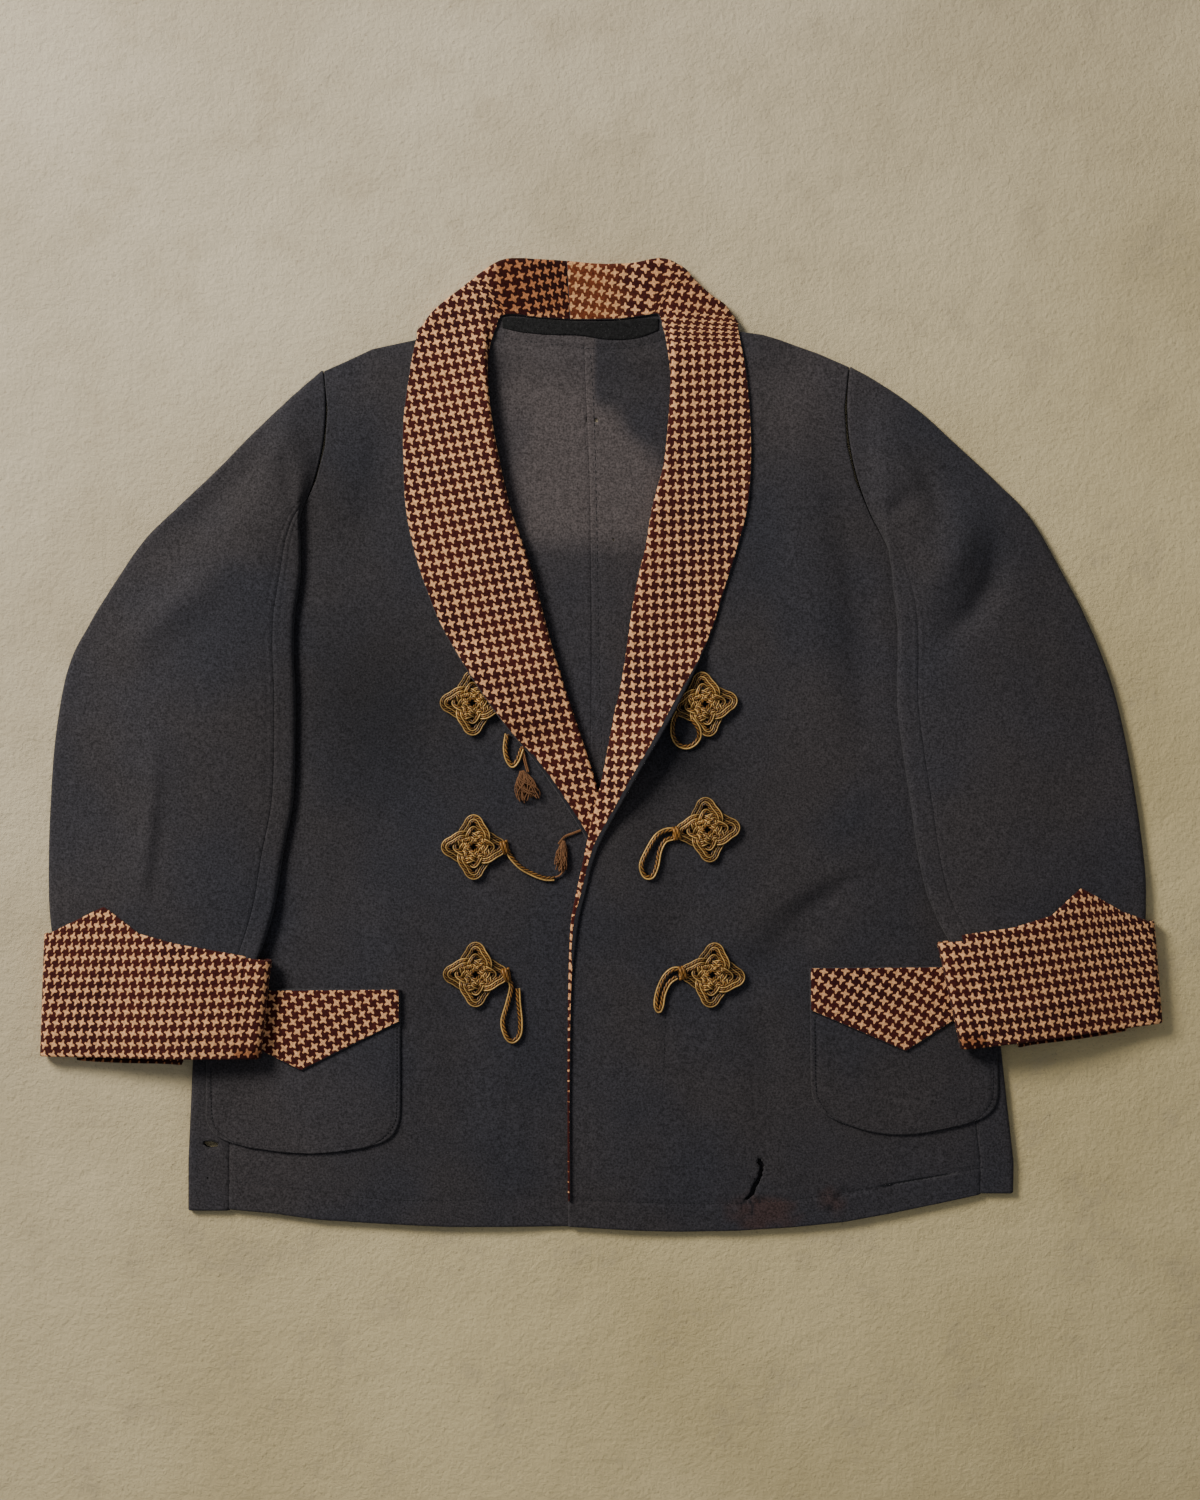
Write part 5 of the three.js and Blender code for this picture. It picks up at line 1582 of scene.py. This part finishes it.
SLEEVE_COLUMNS = ["outerX", "outerY", "innerX", "innerY", "bow", "crown", "cuff"]
SLEEVE_ROWS = {
    "right": table(SLEEVE_COLUMNS, [
        [-227.4, 301.5, -247.5, 182.5, 9.5, 0, 0],
        [-253, 279, -247.5, 174.5, 7, 3, 0],
        [-283, 250.5, -245.5, 166, 5, 5, 0],
        [-313, 220, -245, 153, 3, 6, 0],
        [-343, 191.5, -245, 138, 1, 7, 0],
        [-371, 164, -247, 121, 0, 7.5, 0],
        [-396.5, 127, -250, 99, 0, 7.5, 0],
        [-415.5, 96, -250.5, 71, 0, 7.5, 0],
        [-433, 60, -249, 40, 0, 7.5, 0],
        [-443, 5, -249, -9, 0, 7.5, 0],
        [-447, -46, -251, -50, 0, 7.5, 0],
        [-448.5, -90, -259, -91, 0, 7.5, 0],
        [-448, -128, -267, -138, 0, 7, 0.5],
        [-443.5, -172, -284, -192, 0, 4, 1],
    ]),
    "left": table(SLEEVE_COLUMNS, [
        [201.6, 304.5, 231.5, 161, 13, 0, 0],
        [227, 289.5, 233, 155, 9, 3, 0],
        [256, 269, 233.5, 148, 7, 5, 0],
        [287, 241, 235, 138, 4, 6, 0],
        [318, 212, 236, 125, 2, 7, 0],
        [346, 183, 238, 110, 0, 7.5, 0],
        [371, 140, 239.5, 90, 0, 7.5, 0],
        [392, 100, 239.5, 66, 0, 7.5, 0],
        [410.5, 54, 239, 33, 0, 7.5, 0],
        [422.5, 8, 243, -3, 0, 7.5, 0],
        [432, -44, 250, -48, 0, 7.5, 0],
        [438, -88, 257.5, -98, 0, 7.5, 0],
        [440, -120, 267.5, -134, 0, 6.5, 0.5],
        [438.5, -162, 291.5, -180, 0, 3.5, 1],
    ]),
}
SLEEVE_EDGE = 2.7
TOP_SEAM_INSET = 16
HIND_SEAM_INSET = 24


class Section:
    """The middle of the cloth right round a sleeve or cuff at one place along it."""

    def __init__(self, side, row, spread, lift, at_armhole):
        self.side = side
        self.row = row
        self.spread = spread
        self.lift = lift
        self.at_armhole = at_armhole
        self.outer = np.array([row["outerX"], row["outerY"]])
        inner = np.array([row["innerX"], row["innerY"]])
        self.width = float(np.linalg.norm(inner - self.outer))
        self.across = (inner - self.outer) / self.width
        self.bow = np.array([-self.across[1], self.across[0]])
        if self.bow[0] * OUTWARD[side] > 0:
            self.bow = -self.bow
        self.held_outer = support(side, *self.outer)
        self.held_inner = support(side, *inner)

    def place(self, a):
        f = clamp(a / self.width, 0, 1)
        return self.outer + self.across * a + self.bow * (4 * self.row["bow"] * f * (1 - f))

    def joined(self, p):
        return under_of(self.side, *p) + CLOTH / 2 + surface_detail(*p)

    def low(self, a):
        p = self.place(a)
        resting = support(self.side, *p) + CLOTH / 2 + self.lift
        if self.at_armhole == 0:
            return resting
        return mix(resting, min(resting, self.joined(p) - LAYER - GAP), self.at_armhole)

    def high(self, a):
        p = self.place(a)
        f = clamp(a / self.width, 0, 1)
        hump = max(0.0, math.sin(math.pi * f))
        swell = self.row["crown"] * hump ** 1.3
        folds = (fold_height(*p, SLEEVE_FOLDS) + 1.3 * lumps(*p)) * hump ** 0.5
        held = mix(self.held_outer, self.held_inner, smooth(f, 0.1, 0.95))
        rise = (LAYER + 1) * self.row["cuff"] + 2 * SLEEVE_EDGE + self.spread
        loose = held + CLOTH / 2 + rise + swell + folds
        if self.at_armhole == 0:
            return loose
        return mix(loose, self.joined(p), self.at_armhole)

    def path(self, part):
        """The upper part goes round the outer edge, and the under part round the inner one."""
        run_steps = 30
        bend_steps = 10
        top_seam = self.width - TOP_SEAM_INSET
        seam_gap = SEAM_GAP * (1 + 2 * self.at_armhole)
        spread = self.spread
        points = []

        def put(a, z):
            points.append((*self.place(a), z))

        def run(start, end, height):
            for k in range(run_steps + 1):
                a = mix(start, end, k / run_steps)
                put(a, height(a))

        def bend(edge, way, start_high):
            top, bottom = self.high(edge), self.low(edge)
            radius = (top - bottom) / 2
            for k in range(1, bend_steps):
                angle = math.pi * k / bend_steps
                rise = radius * math.cos(angle) * (1 if start_high else -1)
                put(edge - way * radius * (1 - math.sin(angle)), (top + bottom) / 2 + rise)

        outer_radius = (self.high(-spread) - self.low(-spread)) / 2
        inner_radius = (self.high(self.width + spread) - self.low(self.width + spread)) / 2
        if part == "upper":
            run(top_seam, outer_radius - spread, self.high)
            bend(-spread, -1, True)
            run(outer_radius - spread, HIND_SEAM_INSET, self.low)
        else:
            run(HIND_SEAM_INSET + seam_gap, self.width + spread - inner_radius, self.low)
            bend(self.width + spread, 1, False)
            run(self.width + spread - inner_radius, top_seam + seam_gap, self.high)
        return points


def sleeve_grid(side, part):
    rows = 128
    columns = 84 if part == "upper" else 66
    grid = []
    for along in np.linspace(0, 1, rows):
        row = row_at(SLEEVE_ROWS[side], along)
        lift = (LAYER + 1) * smooth(row["cuff"], 0, 1)
        section = Section(side, row, 0, lift, 1 - smooth(along, 0, 0.12))
        line = evenly(section.path(part), columns, 0.5)
        from_seam = lengths_along(line)
        if part == "under":
            from_seam = from_seam[-1] - from_seam
        seam = 0.8 * np.exp(-((from_seam / SEAM_WIDTH) ** 2))
        line[:, 2] -= seam + 0.35 * np.exp(-(((from_seam - 5) / SEAM_WIDTH) ** 2))
        grid.append(line)
    return np.array(grid)


def add_sleeve(side):
    for part in ("upper", "under"):
        grid = sleeve_grid(side, part)
        obj = cloth(part + "_sleeve_" + side, grid, [WOOL], paint=lighter_and_shade_paint(grid))
        ride(obj, "wool", part + "_sleeve_" + side)
        declare_cloth(grid)


# Turned cuffs
CUFF_CORNERS = {
    "right": {
        "top": {"outerX": -447.5, "outerY": -155.5, "innerX": -271, "innerY": -175.5},
        "mouth": {"outerX": -451, "outerY": -253, "innerX": -279.5, "innerY": -253.5},
        "underReach": 7,
    },
    "left": {
        "top": {"outerX": 442.5, "outerY": -145.5, "innerX": 274, "innerY": -161.5},
        "mouth": {"outerX": 449, "outerY": -226.5, "innerX": 292.5, "innerY": -245.5},
        "underReach": 6.5,
    },
}
CUFF_POINT = {
    "right": table(["fromInner", "rise"], [[1, 0], [0.75, 27.5], [0.58, 9.5], [0.4, 5], [0.2, 3], [0, 0]]),
    "left": table(["fromInner", "rise"], [
        [1, 0], [0.87, 10.5], [0.69, 33], [0.53, 13.5], [0.34, 7], [0.09, 5], [0, 0],
    ]),
}
CUFF_SPREAD = LAYER + 1.4
CUFF_CROWN = 5.4
CUFF_FOLDS = {
    "right": [
        fold([(-402, -170), (-400, -215), (-404, -250)], 7, -0.8),
        fold([(-440, -232), (-360, -236), (-300, -232)], 5, 0.8),
        fold([(-300, -195), (-292, -235)], 6, 0.9),
    ],
    "left": [
        fold([(300, -222), (360, -212), (430, -205)], 6, 0.9),
        fold([(330, -165), (370, -160), (420, -160)], 8, -0.7),
        fold([(300, -180), (312, -235)], 6, 0.8),
    ],
}


def cuff_section(side, f):
    top, mouth = CUFF_CORNERS[side]["top"], CUFF_CORNERS[side]["mouth"]
    row = {name: mix(top[name], mouth[name], f) for name in top}
    row.update(bow=0, crown=CUFF_CROWN, cuff=1)
    return Section(side, row, CUFF_SPREAD, 0, 0)


def cuff_grid(side, part):
    rows = 44
    columns = 110 if part == "upper" else 84
    under_reach = CUFF_CORNERS[side]["underReach"]
    ends = [evenly(cuff_section(side, f).path(part), columns) for f in (0, 1)]
    ways = ends[0][:, :2] - ends[1][:, :2]
    ways /= np.linalg.norm(ways, axis=1, keepdims=True)
    grid = []
    for f in crowded(rows, 0.5):
        section = cuff_section(side, f)
        line = evenly(section.path(part), columns)
        middle = (section.high(section.width / 2) + section.low(section.width / 2)) / 2 - 1
        for j, p in enumerate(line):
            from_outer = float(np.linalg.norm(p[:2] - section.outer)) / section.width
            shift = 0.0
            if part == "upper" and p[2] > middle:
                rise = value_at(CUFF_POINT[side], "fromInner", 1 - from_outer, "rise")
                shift = rise * (1 - f)
            if part == "under" and p[2] <= middle:
                shift = -under_reach * max(0.0, math.sin(math.pi * clamp(from_outer, 0, 1))) ** 0.5 * f
            line[j, :2] += ways[j] * shift
            if p[2] > middle:
                rim_dip = 1.6 * bell(1 - f, 0.05) + 0.5 * bell(f, 0.04)
                line[j, 2] += fold_height(p[0], p[1], CUFF_FOLDS[side]) - rim_dip * 0.5
        grid.append(line)
    return np.array(grid)


def add_cuff(side):
    for part in ("upper", "under"):
        grid = cuff_grid(side, part)
        around = np.array([lengths_along(line) for line in grid])
        if part == "under":
            around = around - around[:, -1:]
        way = 1 if part == "upper" else -1
        reach = np.array([lengths_along(grid[:, j]) for j in range(grid.shape[1])]).T
        start = grid[0, :, 1] - grid[-1, :, 1]
        along = start[None, :] - reach
        tilt = 0.02 * around
        uv = np.stack([way * around / (CHECK_SIZE * 0.95), (along + tilt) / (CHECK_SIZE * 1.13)], 2)
        # Painted shade inside the under part near the cuff's mouth, carried as the dark paint
        near_mouth = 1 if part == "under" else 0
        dark = [[near_mouth * (1 - smooth(a, 3, 14)) for a in line] for line in along]
        obj = cloth("cuff_" + part + "_" + side, grid, [CHECK], uv=uv, paint={"dark": dark})
        ride(obj, "check", "cuff_" + part + "_" + side)
        declare_cloth(grid)


# Shawl collar
def lapel(rows):
    """Rows of the collar where it lies flat: its limb is its outer edge, and its inner end is its roll."""
    whole = []
    for row in table(["outX", "outY", "rollX", "rollY", "roll"], rows):
        row.update(limbX=row["outX"], limbY=row["outY"], inX=row["rollX"], inY=row["rollY"])
        row.update(behind=0, stand=0)
        whole.append(row)
    return whole


NECK_COLUMNS = ["outX", "outY", "limbX", "limbY", "rollX", "rollY", "inX", "inY", "behind", "stand", "roll"]
COLLAR_ROWS = {
    "right": lapel([
        [12, -118, 16, -116, 0.3],
        [-4, -92, 9, -88, 0.3],
        [-17, -70, 2, -62, 0.3],
        [-46, -26, -9.5, -22, 0.6],
        [-89, 29, -28, 34, 3],
        [-126, 87, -43.5, 84, 4],
        [-142, 124, -54, 124, 4.5],
        [-152, 155, -63.5, 156, 4.5],
        [-159, 190, -75.5, 190, 4.5],
        [-161, 229, -84.5, 229, 4.5],
        [-161, 260, -90.5, 263, 4.5],
        [-157, 292, -94, 297, 4],
    ]) + table(NECK_COLUMNS, [
        [-153, 316, -153, 316, -94.5, 320, -92, 320, 0, 0, 3],
        [-150, 327, -150.2, 329, -95, 330, -89, 330, 0, 0, 2.5],
        [-149, 334, -149, 334.5, -95, 334, -87.5, 334, 0.5, 0, 2],
        [-143, 335, -145, 338, -95, 338, -86, 338, 1, 0, 2],
        [-126, 332, -138.5, 347.5, -95, 345, -85, 342, 1, 0.05, 2],
        [-108, 332, -127, 358, -94.5, 354, -83, 345, 1, 0.1, 2],
        [-92, 333, -113, 368.5, -94, 364, -80, 347, 1, 0.25, 2],
        [-77, 335, -99, 379.5, -91, 376, -75, 347.5, 1, 0.5, 2],
        [-62, 337, -82, 390, -80, 389, -66, 347, 1, 0.8, 2],
        [-45, 338, -62, 391.5, -62, 391.5, -52, 345, 1, 1, 2],
        [-29, 338, -29.2, 389.5, -29.2, 389.5, -26.6, 343.5, 1, 1, 2],
    ]),
    "left": lapel([
        [-26.4, -371, -27.0, -371, 0],
        [-26.7, -330, -27.3, -330, 0],
        [-26.8, -290, -27.4, -290, 0],
        [-26.5, -250, -27.2, -250, 0],
        [-25.9, -215, -26.9, -215, 0],
        [-24.9, -188, -26.4, -188, 0.1],
        [-23, -168, -25.8, -168, 0.2],
        [-19.5, -142, -24.3, -143, 0.3],
        [-14, -120, -20.3, -122, 0.4],
        [-9, -99, -15.8, -101, 0.6],
        [-2, -80, -11, -78, 0.8],
        [12, -54, -6, -56, 1.2],
        [30, -22, 1.5, -24, 2],
        [53, 17, 9.5, 18, 3],
        [72, 54, 17.5, 56, 4],
        [88, 91, 23, 95, 4.5],
        [97, 120, 28, 125, 4.5],
        [108, 155, 36, 160, 4.5],
        [117, 190, 41.5, 192, 4.5],
        [120, 228, 50.5, 226, 4.5],
        [119, 268, 54.5, 264, 4.5],
        [116, 300, 56, 298, 4],
    ]) + table(NECK_COLUMNS, [
        [112, 322, 112, 322, 56, 320, 53, 320, 0, 0, 3],
        [109.7, 334, 109.7, 335, 56, 331, 51, 331, 0, 0, 2.5],
        [108.5, 341, 108.5, 341.5, 56.5, 338, 49, 337, 0.5, 0, 2],
        [103, 342.5, 105, 346, 57, 345, 48, 342, 1, 0, 2],
        [88, 338, 99, 354.5, 57, 353, 47, 345, 1, 0.1, 2],
        [72, 336, 88, 362, 57, 362, 46, 347, 1, 0.25, 2],
        [56, 336, 75, 374, 57, 371, 44, 348, 1, 0.35, 2],
        [42, 337, 64, 385.5, 55, 381, 40, 347.5, 1, 0.55, 2],
        [28, 337, 47, 391.5, 45, 391, 33, 346.5, 1, 0.8, 2],
        [5, 337, 22, 387.5, 22, 387.5, 15, 344, 1, 1, 2],
        [-12, 338, -6, 387.5, -6, 387.5, -8, 343.5, 1, 1, 2],
        [-28.2, 338, -28.6, 389.5, -28.6, 389.5, -26, 343.5, 1, 1, 2],
    ]),
}
LAPEL_GAP = 0.7
NECK_TOP = 8.2
NECK_SEAT = 5.8


def frog_lift(x, y):
    nearest = min(math.hypot(x - fx, y - fy) for fx, fy in LAPEL_FROGS)
    return FROG_HEIGHT * (1 - smooth(nearest, 29, 52))


def lapel_lift(side, y):
    """The left lapel's outer edge stands up from the front near its lower end."""
    lift = 16
    from_y = -2
    reach = 52
    return lift * bell(y - from_y, reach) if side == "left" else 0


def collar_path(side, row):
    """Middle of the cloth across the collar: outer edge, limb, soft top, roll and inner end."""
    handle = 3.5
    top_steps = 14
    behind = clamp(row["behind"], 0, 1)
    at_neck = smooth(row["rollY"], 318, 346)

    def over_front(p, f):
        base = under_of(side, *p) + CLOTH + lumps(*p) + LAPEL_GAP + CLOTH / 2
        soft = row["roll"] * smooth(f, 0.4, 1) + lapel_lift(side, p[1]) * (1 - f)
        return mix(base + max(frog_lift(*p), soft), NECK_TOP, at_neck)

    out = np.array([row["outX"], row["outY"]])
    limb = np.array([row["limbX"], row["limbY"]])
    roll = np.array([row["rollX"], row["rollY"]])
    inner = np.array([row["inX"], row["inY"]])
    out_z = mix(over_front(out, 0), CLOTH / 2, behind)
    limb_z = mix(out_z, NECK_TOP, behind)
    inner_z = mix(under_of(side, *inner) + CLOTH / 2, NECK_SEAT, smooth(inner[1], 300, 332))
    path = [(*out, out_z)]

    def toward(start, end, distance):
        length = float(np.linalg.norm(end - start))
        return mix(start, end, min(distance / length, 0.4)) if length > 0 else start

    if behind > 0.2:
        path.append((*toward(limb, out, handle), out_z))
        path.append((*limb, out_z))
        path.append((*limb, limb_z))
    roll_z = over_front(roll, 1)
    for k in range(1, top_steps):
        f = k / top_steps
        p = mix(limb, roll, f)
        path.append((*p, max(over_front(p, f), mix(limb_z, roll_z, f))))
    path.append((*roll, roll_z))
    turn_z = mix(min(inner_z + 1, roll_z), roll_z, clamp(row["stand"], 0, 1))
    path.append((*toward(roll, inner, handle), turn_z))
    path.append((*inner, inner_z))
    return path


def collar_grid(side):
    rows = 210 if side == "right" else 250
    columns = 52
    grid = []
    for place in np.linspace(0, 1, rows):
        row = row_at(COLLAR_ROWS[side], place)
        grid.append(evenly(rounded(collar_path(side, row), 2), columns, 0.4))
    return np.array(grid)


def collar_check(side, x, y):
    """The check lies nearly square on the lapels and turns a little along the stand."""
    if side == "right":
        return check_place(x + 0.1 * (y - 200), y, 7)
    stand = smooth(y, 318, 352)
    return check_place(x - 0.05 * (y - 340), y - 340, mix(4, -11, stand))


def collar_worn(side, x, y):
    """Orange-brown fading of the left half of the stand near the centre back."""
    if side == "right" or y < 335:
        return 0
    spot = 0.35 * noise.noise((x / 12, y / 9, 4.4))
    return clamp(0.9 * (1 - smooth(x, -6, 30)) + spot, 0, 1) * smooth(y, 335, 346)


def collar_dark(side, x, y):
    """The right half of the stand leans away from the light."""
    if side == "left":
        return 0.3 * smooth(x, 24, 48) * smooth(y, 340, 356)
    return smooth(y, 340, 352) * smooth(x, -96, -80)


def wrong_side(side, x, y, from_edge, width):
    """1 where the collar's wool side shows along its outer edge, which curls up near the lower end."""
    if side == "left":
        shown = min(3.4 * (1 - smooth(y, 30, 78)), 0.42 * width) * smooth(y, -186, -168)
    else:
        shown = 2.4 * (1 - smooth(y, -12, 4)) * smooth(y, -84, -70)
    return 1 if from_edge < shown else 0


def flattened(line):
    """Places in plan, pushed apart where the line runs steeply, so that the check keeps its size there."""
    steps = np.diff(line, axis=0)
    steep = np.linalg.norm(steps, axis=1) - np.linalg.norm(steps[:, :2], axis=1)
    extra = np.concatenate([[0], np.cumsum(steep)])
    extra -= extra[len(line) // 2]
    across = line[-1, :2] - line[0, :2]
    across /= max(np.linalg.norm(across), TINY)
    return line[:, :2] + extra[:, None] * across


def add_collar(side):
    grid = collar_grid(side)
    uv = [[collar_check(side, x, y) for x, y in flattened(line)] for line in grid]
    worn = at_points(grid, lambda x, y: collar_worn(side, x, y))
    dark = at_points(grid, lambda x, y: collar_dark(side, x, y))
    turned = []
    for line in grid:
        along = lengths_along(line)
        turned.append([wrong_side(side, p[0], p[1], a, along[-1]) for p, a in zip(line, along)])
    paint = {"worn": worn, "dark": dark, "turned": turned}
    obj = cloth("collar_" + side, grid, [CHECK, WOOL], uv=uv, turned=side == "left", paint=paint)
    ride(obj, "check", "collar_" + side)
    declare_cloth(grid)


TAPE_ROWS = table(["x", "upper", "lower"], [
    [-81, 345, 337],
    [-66, 344.6, 333.5],
    [-45, 343, 331.5],
    [-20, 341.4, 331],
    [5, 341.4, 327.5],
    [28, 343.6, 328.5],
    [45, 344, 335],
])


def add_tape():
    rows = 70
    columns = 12
    thick = 1
    grid = []
    for place in np.linspace(0, 1, rows):
        row = row_at(TAPE_ROWS, place)
        line = []
        for f in np.linspace(0, 1, columns):
            y = mix(row["upper"], row["lower"], f)
            z = neck_lift(row["x"], y) + CLOTH + GAP + thick / 2 + 0.25 * lumps(3 * row["x"], 3 * y)
            line.append((row["x"], y, z))
        grid.append(line)
    grid = np.array(grid)
    obj = cloth("neck_tape", grid, [TAPE], thickness=thick)
    ride(obj, "tape", "neck_tape")
    declare_cloth(grid)


# Rows of stitching
def front_top(side, x, y):
    return under_of(side, x, y) + CLOTH + surface_detail(x, y)


def back_top(side, x, y):
    return neck_lift(x, y) + CLOTH + fold_height(x, y, BACK_GROOVES)


def pocket_top(side, x, y):
    return top_of(side, x, y) + POCKET_BASE + CLOTH + 0.35


def trim_top(side, x, y):
    return pocket_top(side, x, y) + GAP + CLOTH


STITCH_ROWS = table(["name", "side", "height", "step", "thick", "path"], [
    ["neck", "right", back_top, 4.2, 0.42, [
        (-82, 330), (-59, 325.5), (-28, 322), (-8.5, 320), (17.4, 320), (40, 325), (57.5, 329),
    ]],
    ["centre_back", "left", back_top, 5.5, 0.3, [
        (-10, 318), (-7, 270), (-5, 196), (-3.6, 114), (-2, 31), (0.4, -30),
    ]],
    ["facing_left", "left", front_top, 3.6, 0.26, [
        (51.5, -155), (50.6, -230), (48.5, -292), (50.8, -323), (51.4, -370), (53.5, -393),
    ]],
    ["facing_right", "right", front_top, 3.6, 0.2, [
        (-59, -87), (-59, -230), (-59.5, -371),
    ]],
    ["hem_right", "right", front_top, 3.8, 0.24, [
        (-300, -355.6), (-250, -361), (-177, -370), (-100, -370.5), (-31, -370),
    ]],
    ["hem_left", "left", front_top, 3.8, 0.24, [
        (-24, -370.5), (53, -373), (100, -373.4), (156, -370), (246, -356), (318, -342.5),
    ]],
    ["pocket_right", "right", pocket_top, 3.0, 0.24, [
        (-166.4, -228), (-166.5, -290), (-168, -306), (-176, -318), (-190, -324), (-240, -329.5),
        (-290, -325), (-308, -317), (-316, -304), (-317.5, -262),
    ]],
    ["pocket_left", "left", pocket_top, 3.0, 0.24, [
        (171.4, -222), (172.4, -276), (175, -289), (182, -299), (196, -308), (240, -313.5), (286, -309),
        (306, -300), (315, -288), (316.5, -262),
    ]],
    ["trim_right", "right", trim_top, 3.4, 0.2, [
        (-166.5, -223), (-204, -242), (-243.5, -262),
    ]],
    ["trim_left", "left", trim_top, 3.4, 0.2, [
        (170.5, -214.5), (207, -230), (245, -246.5), (281, -224),
    ]],
])


def stitch_row(row):
    """Short dashes of thread along a path, each sunk into the cloth at both ends."""
    fine = curve_through([(*p, 0) for p in row["path"]], 1200)
    along = lengths_along(fine)
    parts = []
    for start in np.arange(row["step"] / 2, along[-1] - row["step"], row["step"]):
        dash = []
        for share, sunk in ((0, 0.35), (0.2, 0), (0.44, 0), (0.64, 0.35)):
            at = start + share * row["step"]
            x = float(np.interp(at, along, fine[:, 0]))
            y = float(np.interp(at, along, fine[:, 1]))
            dash.append((x, y, row["height"](row["side"], x, y) + 0.1 - sunk))
        parts.append(plain_cord(dash, row["thick"], 5, material=THREAD))
    ride(add_cords("stitches_" + row["name"], parts), "wool")


for side in ("right", "left"):
    add_back(side)
    add_front(side)
    add_pocket(side)
    add_sleeve(side)
    add_cuff(side)
    add_collar(side)
add_tape()
for row in STITCH_ROWS:
    stitch_row(row)


# Floor and light
def plaster_material():
    """Pale rough plaster, a little warmer toward one corner."""
    s = Surface("plaster")
    place = s.place()
    split = s.node("ShaderNodeSeparateXYZ")
    s.put(split.inputs[0], place)
    corner = s.math("SUBTRACT", split.outputs[0], split.outputs[1])
    warmth = s.between(corner, -1.0, 0.6)
    tone = s.mixed(warmth, colour(216, 204, 180), colour(225, 207, 158))
    clouds = s.between(s.noise(place, 4, 5, 0.6), 0.3, 0.7)
    tone = s.mixed(clouds, tone, s.tinted(tone, colour(232, 230, 224)))
    stains = s.between(s.noise(place, 16, 8, 0.75), 0.52, 0.64, 0.0, 0.3)
    tone = s.mixed(stains, tone, colour(188, 174, 146))
    rough = s.noise(place, 230, 6, 0.7)
    pits = s.between(s.noise(place, 420, 3, 0.6), 0.3, 0.42, 0.5, 0.0)
    tone = s.mixed(pits, tone, colour(158, 142, 112))
    wide = s.bump(s.noise(place, 34, 4, 0.6), 0.004, 0.5)
    return s.finish(tone, s.bump(rough, 0.0019, 0.9, wide), roughness=0.9, specular=0.2)


def make_floor():
    half = 3000 * MM
    corners = [(-half, -half, 0), (half, -half, 0), (half, half, 0), (-half, half, 0)]
    floor = add_object("floor", corners, [(0, 1, 2, 3)], [plaster_material()], smooth_faces=False)


def make_lights():
    world = bpy.data.worlds.new("studio")
    world.use_nodes = True
    background = world.node_tree.nodes["Background"]
    background.inputs["Color"].default_value = (0.92, 0.95, 1.0, 1.0)
    background.inputs["Strength"].default_value = 0.24
    bpy.context.scene.world = world
    data = bpy.data.lights.new("window", "AREA")
    data.shape = "RECTANGLE"
    data.size = 0.9
    data.size_y = 0.9
    data.energy = 90
    data.color = (1.0, 0.95, 0.86)
    lamp = bpy.data.objects.new("window", data)
    lamp.location = (-1.75, 1.45, 1.62)
    aim = Vector((0.05, 0.0, 0.0)) - lamp.location
    lamp.rotation_euler = aim.to_track_quat("-Z", "Y").to_euler()
    bpy.context.scene.collection.objects.link(lamp)


make_floor()
make_lights()
